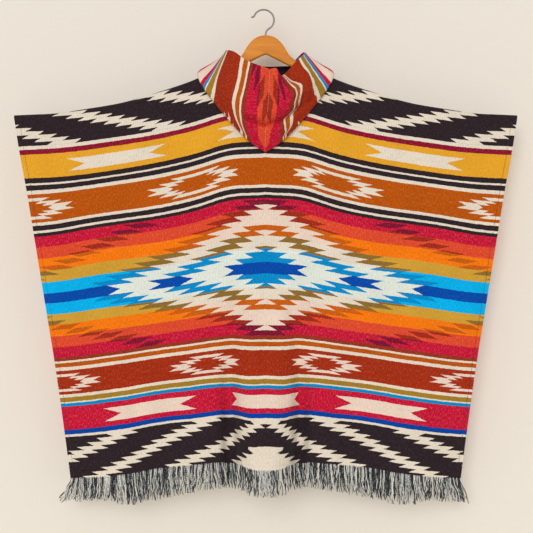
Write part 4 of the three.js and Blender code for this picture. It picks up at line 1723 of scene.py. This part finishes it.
@dataclass
class HoodHalf:
    """One half of the pointed hood: +1 lies towards +X, -1 towards -X."""

    name: str
    side: int
    material: bpy.types.Material
    creases: tuple[Crease, ...]
    drape: Table
    sag: Table
    columns: int = 58
    turn_depth: float = 4.4
    turn_height: float = 6.8
    rim_weave: float = 298.0  # where the rim lies across the woven pattern, at the seam
    ridge_weave: float = 270.0  # and at the ridge
    rim_turn: float = 60.0  # the turn where it has come to lie there
    cut_apart: float = 900.0  # the place of each half's cloth, so that the two halves' nap differs
    tip_sag: float = 3.5
    tip_turn: float = 40.0  # the turn where the fold stops sagging
    kept_off: float = 110.0  # the turn up to which the fold is kept off the panels
    crease_end: float = 96.0  # the turn where the creases end
    crease_fade: float = 12.0  # and the turn over which they fade before it
    groove_width: float = 4.5  # of the hollow along the middle seam
    groove_depth: float = 1.4
    seam_line: Array | None = None
    steps: tuple[int, ...] = (1, 2, 2, 2, 3, 3, 3, 4, 6, 30, 30)

    def keys(self, turn: Array) -> Array:
        """Give the key points of the lines that run over the hood.

        Args:
            turn: Degrees round the neck seam of each line.

        Returns:
            The points from the neck seam to the rim, shaped (keys, lines, 3).
        """

        def place(name: str) -> Array:
            """Read one named point of each line.

            Args:
                name: The point's name.

            Returns:
                The points.
            """
            columns = [f"{name}_{part}" for part in ("reach", "out", "drop")]
            reach, out, drop = (HOOD_LINES.read("turn", column, turn) for column in columns)
            return np.stack([reach, -out, -drop], -1)

        point, out, into = neck_seam(turn)
        depth, height = self.turn_depth, self.turn_height
        over = point - 0.5 * into + height * out
        radius = HOOD_LINES.read("turn", "radius", turn)
        fold = place("fold")
        fold = np.where((turn < self.kept_off)[:, None], clear_of_panels(fold, radius), fold)
        belly, rim = place("belly"), place("rim")
        rim[:, 2] -= self.sag.read("turn", "sag", turn)
        fold[:, 2] -= self.tip_sag * (1 - smooth(turn / self.tip_turn))
        ahead = fold - (over + rim) / 2
        ahead /= np.linalg.norm(ahead, axis=1, keepdims=True)
        apart = rim - over
        apart -= ahead * np.sum(apart * ahead, axis=1, keepdims=True)
        apart /= np.linalg.norm(apart, axis=1, keepdims=True)
        under = fold - apart * radius[:, None]
        return np.array(
            [
                point + into * (SEAM_GAP + 0.1),
                point + into * 0.4 * depth,
                point + into * depth + out * height / 2,
                point + into * 0.6 * depth + out * 0.92 * height,
                over,
                clear_of_panels(over + (under - over) * 0.33),
                clear_of_panels(over + (under - over) * 0.67),
                clear_of_panels(under),
                clear_of_panels(fold + ahead * radius[:, None]),
                fold + apart * radius[:, None],
                belly,
                rim,
            ]
        )

    def weave(self, reach: Array, turn: Array, places: Array) -> Array:
        """Give where the half's points lie on the woven pattern's length.

        Args:
            reach: The points' distance from the middle seam, shaped (places, turns).
            turn: Degrees round the neck seam.
            places: Places along the hood's lines.

        Returns:
            The lengths on the pattern.
        """
        woven = np.broadcast_to(HOOD_WEAVE.read("turn", "weave", turn), reach.shape).copy()
        front = turn <= HOOD_RIDGE
        for row, place in enumerate(np.maximum(places, FOLD_PLACE)):
            names = ("seam", "crimson", "inner", "outer", "ridge")
            seam, crimson, inner, outer, ridge = (self.drape.read("place", name, place) for name in names)
            last = max(reach[row, front].max(), outer + 5)
            lengths = [seam, HOOD_CRIMSON_STARTS, HOOD_STRIPE_STARTS, HOOD_STRIPE_ENDS, ridge]
            woven[row, front] = np.interp(reach[row, front], [0, crimson, inner, outer, last], lengths)
            fading = 1 - smooth((turn[~front] - HOOD_RIDGE) / 30)
            woven[row, ~front] += (ridge - HOOD_RIDGE_WEAVE) * fading
        return woven

    def build(self) -> bpy.types.Object:
        """Build the half, and keep the line of the middle seam for its stitches.

        Returns:
            The half's piece.
        """
        quarter = np.linspace(0, 90, self.columns)
        turn = np.concatenate([quarter, 180 - quarter[-2::-1]])
        places = np.concatenate([k + np.arange(n) / n for k, n in enumerate(self.steps)])
        places = np.append(places, len(self.steps))
        points = curve_through(self.keys(turn), places)
        steps = np.linalg.norm(np.diff(points, axis=0), axis=2)
        from_rim = np.concatenate([np.cumsum(steps[::-1], axis=0)[::-1], np.zeros((1, len(turn)))])
        x = self.side * points[..., 0]
        drop = -points[..., 2]
        fading = smooth((self.crease_end - turn) / self.crease_fade)
        seen = smooth((places - FOLD_PLACE) * 3)[:, None] * fading[None, :]
        for crease in self.creases:
            points[..., 1] -= crease.lift(x, drop) * seen
        groove = np.exp(-((points[..., 0] / self.groove_width) ** 2))
        points[..., 1] += self.groove_depth * groove * seen
        points[:, [0, -1], 0] = SEAM_GAP / 2
        aside = SEAM_ASIDE.read("place", "aside", np.maximum(places, FOLD_PLACE))[:, None]
        points[..., 0] *= self.side
        shifted = smooth((places - FOLD_PLACE + 0.3) * 3)[:, None] * (1 - smooth(np.abs(x) / 70))
        points[..., 0] += aside * shifted
        weave = self.weave(np.abs(points[..., 0] - aside), turn, places)
        self.seam_line = points[places > FOLD_PLACE + 0.05, 0] - (0.0, CLOTH / 2 + 0.3, 0.0)
        rim = self.rim_weave + (self.ridge_weave - self.rim_weave) * smooth(turn / self.rim_turn)
        maps = {
            "weave": np.stack([rim + from_rim, weave], -1),
            "cut": np.stack([from_rim + self.side * self.cut_apart, weave], -1),
        }
        faces = grid_faces(*drop.shape, flip=self.side < 0)
        piece = mesh_object(self.name, points, faces, maps, self.material)
        thicken(piece, CLOTH)
        return piece


@dataclass
class Stitching:
    """A row of sewn stitches that lie on the cloth."""

    name: str
    material: bpy.types.Material
    length: float = 4.0
    gap: float = 1.6
    radius: float = 0.42
    taper: tuple[float, ...] = (0.7, 1, 1, 1, 0.7)
    sides: int = 5
    rows: list[Array] = field(default_factory=list)

    def sew(self, line: Array, out: Array) -> None:
        """Add the stitches of one seam.

        Args:
            line: The seam's points.
            out: The direction out of the cloth at each point.
        """
        lengths = np.concatenate([[0], np.cumsum(np.linalg.norm(np.diff(line, axis=0), axis=1))])
        starts = np.arange(2.0, lengths[-1] - self.length, self.length + self.gap)
        shares = np.array([0, 0.12, 0.5, 0.88, 1])
        lift = np.array([-0.5, 0.25, 0.45, 0.25, -0.5])
        at = starts[:, None] + shares * self.length
        path = np.stack([np.interp(at, lengths, line[:, i]) for i in range(3)], -1)
        normal = np.stack([np.interp(at, lengths, out[:, i]) for i in range(3)], -1)
        self.rows.append(path + normal * lift[None, :, None])

    def build(self) -> bpy.types.Object:
        """Build all the stitches.

        Returns:
            The stitches, as one piece.
        """
        paths = np.concatenate(self.rows)
        radii = np.broadcast_to(self.radius * np.array(self.taper), paths.shape[:2])
        points, faces, _ = tubes(paths, radii, self.sides)
        piece = mesh_object(self.name, points, faces, {}, self.material)
        close_up(piece)
        return piece


# ----- The hanger -----


def bezier(controls: Sequence[tuple[float, float]], steps: int) -> list[tuple[float, float]]:
    """Draw a Bezier curve.

    Args:
        controls: Its control points, the first and last of which lie on it.
        steps: How many points to give.

    Returns:
        The curve's points.
    """
    t = np.linspace(0, 1, steps)[:, None]
    layer = [np.array(point, float) for point in controls]
    while len(layer) > 1:
        layer = [a * (1 - t) + b * t for a, b in zip(layer[:-1], layer[1:])]
    return [tuple(point) for point in layer[0]]


@dataclass
class Hanger:
    """The wooden hanger: a round head, an inside notch and two arms, cut from one board.

    One side of the head is a curve, given by its control points, and so is the flank from it to the arm.
    """

    material: bpy.types.Material
    thickness: float = 12.0
    rounding: float = 4.6
    head: tuple[tuple[float, float], ...] = ((0, -60), (31, -60), (43, -84), (54.5, -104.5))
    flank: tuple[float, float] = (65.0, -121.0)
    joint: float = NECK_REACH + 8  # where the flank meets the arm
    notch_top: float = 105.0
    arm_slope: float = 0.51
    arm_reach: float = 222.0
    tip_depth: float = 13.0
    clear: float = 0.5

    def arm_top(self, reach: Array | float) -> Array:
        """Give the height of an arm's upper edge, which lies just under the cloth.

        Args:
            reach: Places beside the garment's middle.

        Returns:
            The heights.
        """
        drop = SHOULDER.read("reach", "drop", reach)
        slant = np.hypot(1, SHOULDER.read("reach", "drop", np.asarray(reach) + 1) - drop)
        return -drop - (CLOTH / 2 + self.clear) * slant

    def outline(self) -> list[tuple[float, float]]:
        """Draw the board's outline as it is seen from the back.

        Returns:
            The (x, z) points, all the way round.
        """
        joint = (self.joint, float(self.arm_top(self.joint)))
        half = [*bezier(self.head, 15)[:-1], *bezier((self.head[-1], self.flank, joint), 9)]
        half += [(r, float(self.arm_top(r))) for r in (122, 134, 148, 165, 182, 200, self.arm_reach - 7)]
        tip = float(self.arm_top(self.arm_reach)) - 2
        half += [(self.arm_reach - 1, tip - 1), (self.arm_reach, tip - 4), (self.arm_reach - 3, tip - 9)]
        half += [(self.arm_reach - 14, float(self.arm_top(self.arm_reach - 14)) - self.tip_depth)]
        half += [(r, -self.notch_top - self.arm_slope * r) for r in (165, 120, 80, 40, 8)]
        half += [(3, -self.notch_top - 2.2)]
        mirrored = [(-x, z) for x, z in reversed(half[1:])]
        return [*half, (0, -self.notch_top - 1), *mirrored]

    def build(self) -> bpy.types.Object:
        """Draw the outline from one point, fill it, pull it to its thickness and round its edges.

        Returns:
            The hanger's piece.
        """
        outline = self.outline()
        bpy.ops.object.select_all(action="DESELECT")
        start = ((outline[0][0] + MIDDLE_X) * MM, -self.thickness / 2 * MM, outline[0][1] * MM)
        bpy.ops.mesh.primitive_plane_add(size=0.001, location=start)
        piece = bpy.context.object
        piece.name = piece.data.name = "wooden_hanger"
        bpy.ops.object.mode_set(mode="EDIT")
        bpy.ops.mesh.select_all(action="SELECT")
        bpy.ops.mesh.merge(type="CENTER")
        for (x0, z0), (x1, z1) in zip(outline[:-1], outline[1:]):
            bpy.ops.mesh.extrude_region_move(
                TRANSFORM_OT_translate={"value": ((x1 - x0) * MM, 0, (z1 - z0) * MM)}
            )
        bpy.ops.mesh.select_all(action="SELECT")
        bpy.ops.mesh.edge_face_add()
        bpy.ops.mesh.extrude_region_move(TRANSFORM_OT_translate={"value": (0, self.thickness * MM, 0)})
        bpy.ops.mesh.select_all(action="SELECT")
        bpy.ops.mesh.normals_make_consistent(inside=False)
        bpy.ops.object.mode_set(mode="OBJECT")
        rounded = piece.modifiers.new("rounded_edges", "BEVEL")
        rounded.width = self.rounding * MM
        rounded.segments = 6
        rounded.limit_method = "ANGLE"
        rounded.angle_limit = math.radians(50)
        pick_only(piece)
        bpy.ops.object.modifier_apply(modifier=rounded.name)
        bpy.ops.object.transform_apply(location=True, rotation=True, scale=True)
        bpy.ops.object.shade_smooth_by_angle(angle=math.radians(38))
        piece.data.materials.append(self.material)
        return piece


@dataclass
class Hook:
    """The wire hook: an arc with a bent-out tip, and a shank that runs down into the wood."""

    material: bpy.types.Material
    inside_radius: float = 23.0
    wire: float = 2.0
    tip_turn: float = 160.0
    last_turn: float = -40.0
    shank_foot: float = 78.0
    sides: int = 20

    def stations(self) -> Array:
        """Give the points that the wire's middle follows.

        Returns:
            The points in millimetres, from the tip to the shank's foot.
        """
        radius, centre = self.inside_radius + self.wire, -self.inside_radius
        keys = [(-radius - 5, 0, centre + 6)]
        for angle in np.radians(np.arange(self.tip_turn, self.last_turn - 1, -20)):
            keys.append((radius * math.cos(angle), 0, centre + radius * math.sin(angle)))
        keys.append((MIDDLE_X + 4, 0, -47))
        keys += [(MIDDLE_X, 0, z) for z in (-55.2, -60, -67.2, -self.shank_foot)]
        places = np.linspace(0, len(keys) - 1, 5 * (len(keys) - 1) + 1)
        return curve_through(np.array(keys, float)[:, None], places)[:, 0]

    def build(self) -> bpy.types.Object:
        """Pull a round section along the wire's run, turning it at each station.

        Returns:
            The hook's piece.
        """
        points = [Vector(p) * MM for p in self.stations()]
        ways = [(b - a).normalized() for a, b in zip(points[:-1], points[1:])]
        heads = [ways[0], *[(a + b).normalized() for a, b in zip(ways[:-1], ways[1:])], ways[-1]]
        bpy.ops.object.select_all(action="DESELECT")
        bpy.ops.mesh.primitive_circle_add(
            vertices=self.sides,
            radius=self.wire * MM,
            location=points[0],
            rotation=heads[0].to_track_quat("Z", "Y").to_euler(),
            fill_type="NGON",
        )
        piece = bpy.context.object
        piece.name = piece.data.name = "wire_hook"
        bpy.ops.object.transform_apply(location=True, rotation=True, scale=True)
        bpy.ops.object.mode_set(mode="EDIT")
        bpy.ops.mesh.select_all(action="SELECT")
        for place, following, head, turned in zip(points[:-1], points[1:], heads[:-1], heads[1:]):
            bpy.ops.mesh.extrude_region_move(TRANSFORM_OT_translate={"value": following - place})
            angle = math.atan2(head.cross(turned).y, head.dot(turned))
            if abs(angle) > 1e-6:
                bpy.ops.transform.rotate(
                    value=-angle, orient_axis="Y", orient_type="GLOBAL", center_override=following
                )
        bpy.ops.mesh.select_all(action="SELECT")
        bpy.ops.mesh.normals_make_consistent(inside=False)
        bpy.ops.object.mode_set(mode="OBJECT")
        ends = piece.modifiers.new("filed_ends", "BEVEL")
        ends.width = 1.1 * MM
        ends.segments = 3
        ends.limit_method = "ANGLE"
        ends.angle_limit = math.radians(60)
        pick_only(piece)
        bpy.ops.object.modifier_apply(modifier=ends.name)
        bpy.ops.object.shade_smooth_by_angle(angle=math.radians(50))
        piece.data.materials.append(self.material)
        return piece


# ----- The studio -----


@dataclass
class Studio:
    """A pale wall behind the hanger, a pale floor, soft lights, and the camera level with the garment."""

    wall_y: float = 0.1
    wall_height: float = 6.0
    floor_z: float = -1.85
    half_width: float = 5.0
    room_light: float = 0.6
    lens: float = 84.4
    camera_place: tuple[float, float, float] = (0.007, -3.012, -0.617)

    def plane(
        self,
        name: str,
        corners: list[tuple[float, float, float]],
        paint: MattPaint,
    ) -> bpy.types.Object:
        """Add one flat painted surface that isn't part of the object.

        Args:
            name: The surface's name.
            corners: Its four corners.
            paint: Its paint.

        Returns:
            The new object.
        """
        mesh = bpy.data.meshes.new(name)
        mesh.from_pydata(corners, [], [(0, 1, 2, 3)])
        mesh.materials.append(paint.make())
        made = bpy.data.objects.new(name, mesh)
        bpy.context.scene.collection.objects.link(made)
        return made

    def light(
        self,
        name: str,
        comes_from: tuple[float, float, float],
        spread: float,
        power: float,
        tint: str,
    ) -> None:
        """Add one broad, distant soft light.

        Args:
            name: The light's name.
            comes_from: The direction that it comes from.
            spread: Its spread in degrees.
            power: Its strength.
            tint: Its sRGB colour.
        """
        lamp = bpy.data.lights.new(name, "SUN")
        lamp.angle = math.radians(spread)
        lamp.energy = power
        lamp.color = linear(tint)[:3]
        made = bpy.data.objects.new(name, lamp)
        made.rotation_euler = (-Vector(comes_from)).to_track_quat("-Z", "Y").to_euler()
        bpy.context.scene.collection.objects.link(made)

    def build(self) -> None:
        """Build the studio."""
        w, y, z = self.half_width, self.wall_y, self.floor_z
        top = z + self.wall_height
        wall = [(-w, y, z), (w, y, z), (w, y, top), (-w, y, top)]
        backdrop = self.plane("wall", wall, MattPaint("matt_cream_wall_paint", "ECE6DB", one_sided=True))
        backdrop.visible_shadow = False  # the rear light reaches the garment's other side through it
        floor = [(-w, -w, z), (w, -w, z), (w, w, z), (-w, w, z)]
        self.plane("floor", floor, MattPaint("matt_pale_floor_paint", "E6E0D6"))
        self.light("front_softbox", (-0.15, -1.0, 0.23), spread=34, power=1.42, tint="FFFEFF")
        self.light("rear_softbox", (0.3, 1.0, 0.35), spread=40, power=1.5, tint="FFFEFD")
        world = bpy.data.worlds.new("soft_room_light")
        world.use_nodes = True
        background = world.node_tree.nodes["Background"]
        background.inputs["Color"].default_value = linear("F1F0EE")
        background.inputs["Strength"].default_value = self.room_light
        bpy.context.scene.world = world
        bpy.context.scene.view_settings.view_transform = "Standard"

    def camera(self) -> None:
        """Set the camera level with the garment's middle, square to its back."""
        data = bpy.data.cameras.new("camera")
        data.sensor_width = 36
        data.lens = self.lens
        data.clip_start, data.clip_end = 0.05, 60
        made = bpy.data.objects.new("camera", data)
        made.location = self.camera_place
        made.rotation_euler = (math.pi / 2, 0, 0)
        bpy.context.scene.collection.objects.link(made)
        bpy.context.scene.camera = made


LEFT_HOOD_CREASES = (
    Crease(line=((30, 290), (6, 284), (-14, 280), (-34, 270), (-60, 262)), width=8, height=-17),
    Crease(line=((20, 268), (-12, 264), (-40, 254)), width=12, height=7),
    Crease(line=((-76, 132), (-90, 180), (-102, 236)), width=16, height=3),
    Crease(line=((-36, 156), (-54, 204), (-52, 256)), width=16, height=-2.5),
    Crease(line=((-112, 130), (-118, 180), (-110, 236)), width=9, height=-3),
)
RIGHT_HOOD_CREASES = (
    Crease(
        line=((-20, 285), (8, 279), (34, 271), (56, 258), (76, 240), (88, 218), (108, 204)),
        width=8,
        height=-19,
    ),
    Crease(line=((4, 258), (28, 250), (50, 236), (62, 218), (64, 200), (52, 180)), width=12, height=11),
    Crease(line=((34, 170), (58, 183), (80, 195), (98, 192)), width=8, height=6),
    Crease(line=((42, 158), (70, 172), (96, 186)), width=9, height=-5),
    Crease(line=((66, 246), (84, 234), (100, 225), (118, 214)), width=9, height=-11),
    Crease(line=((82, 212), (98, 206), (116, 196)), width=9, height=5),
    Crease(line=((80, 264), (100, 250), (120, 234)), width=9, height=5),
    Crease(line=((2, 304), (26, 296), (46, 278)), width=12, height=4),
)


def panel_normals(cloth: HangingCloth, across: Array, flat: Array) -> Array:
    """Give the direction out of a panel's cloth.

    Args:
        cloth: The panel's form.
        across: Shares of the half width, from -1 to 1.
        flat: Lengths along the cut cloth.

    Returns:
        The direction at each place, as a vector of length 1.
    """
    sideways = cloth.point(across + 0.001, flat) - cloth.point(across - 0.001, flat)
    down = cloth.point(across, flat + 1) - cloth.point(across, flat - 1)
    normal = np.cross(sideways, down)
    normal /= np.linalg.norm(normal, axis=-1, keepdims=True)
    return np.where((normal[:, 1] * cloth.toward < 0)[:, None], -normal, normal)


def sew_side_hems(stitches: Stitching, panel: BlanketPanel) -> None:
    """Sew the narrow hem along both side edges of a panel.

    Args:
        stitches: The stitches to add to.
        panel: The panel.
    """
    for side in (-1, 1):
        start = float(panel.cloth.bend_end(np.array([side * 0.98]))[0]) + 4
        flat = np.arange(start, HEM_FLAT - 2, 6.0)
        across = np.full(flat.shape, side * (1 - panel.hem_inset / CORNER_REACH))
        normal = panel_normals(panel.cloth, across, flat)
        points = panel.cloth.point(across, flat) + normal * (CLOTH / 2)
        points[:, 1] -= panel.cloth.toward * panel.hem_depth
        stitches.sew(points, normal)


def build_panels(blanket: bpy.types.Material, yarn: bpy.types.Material) -> None:
    """Build the back and the front, each with its fringe and its stitched side hems.

    Args:
        blanket: The panels' cloth.
        yarn: The fringes' yarn.
    """
    for name, cloth, seed in (("back", BACK, 11), ("front", FRONT, 23)):
        panel = BlanketPanel(f"{name}_blanket", cloth, blanket)
        body = declare(panel.build(), "blanket", f"{name}_panel")
        fringe = YarnFringe(f"{name}_yarn_fringe", cloth, yarn, seed).build()
        declare(fringe, "fringe_yarn", f"{name}_fringe")
        hems = Stitching(f"{name}_hem_stitches", SewingThread(f"{name}_hem_thread", "3A2B30").make())
        sew_side_hems(hems, panel)
        seam = declare(hems.build(), "blanket")


def build_hood(hood_cloth: bpy.types.Material) -> None:
    """Build the hood's two halves and the stitches of the seam between them.

    Args:
        hood_cloth: The halves' cloth.
    """
    lines = []
    for name, side, creases, drape, sag in (
        ("hood_left", -1, LEFT_HOOD_CREASES, LEFT_DRAPE, LEFT_SAG),
        ("hood_right", 1, RIGHT_HOOD_CREASES, RIGHT_DRAPE, RIGHT_SAG),
    ):
        hood = HoodHalf(f"{name}_half", side, hood_cloth, creases, drape, sag)
        half = declare(hood.build(), "hood_cloth", name)
        lines.append(hood.seam_line)
    seam = Stitching("hood_seam_stitches", SewingThread("hood_seam_thread", "D8A08A").make(), radius=0.5)
    line = (lines[0] + lines[1]) / 2
    seam.sew(line, np.broadcast_to((0.0, -1.0, 0.0), line.shape))
    declare(seam.build(), "hood_cloth")


def main() -> None:
    """Build the studio, the garment and its hanger."""
    logging.basicConfig(level=logging.INFO, format="%(name)s %(message)s")
    studio = Studio()
    studio.camera()
    studio.build()
    blanket = BrushedBlanket("brushed_striped_blanket").make()
    hood_cloth = BrushedBlanket("brushed_blanket_hood_cloth").make()
    yarn = TwistedYarn().make()
    build_panels(blanket, yarn)
    build_hood(hood_cloth)
    declare(Hanger(VarnishedWood().make()).build(), "hanger_wood", "hanger_wood")
    declare(Hook(DrawnWire().make()).build(), "hook_wire", "hanger_hook")


if __name__ == "__main__":
    main()
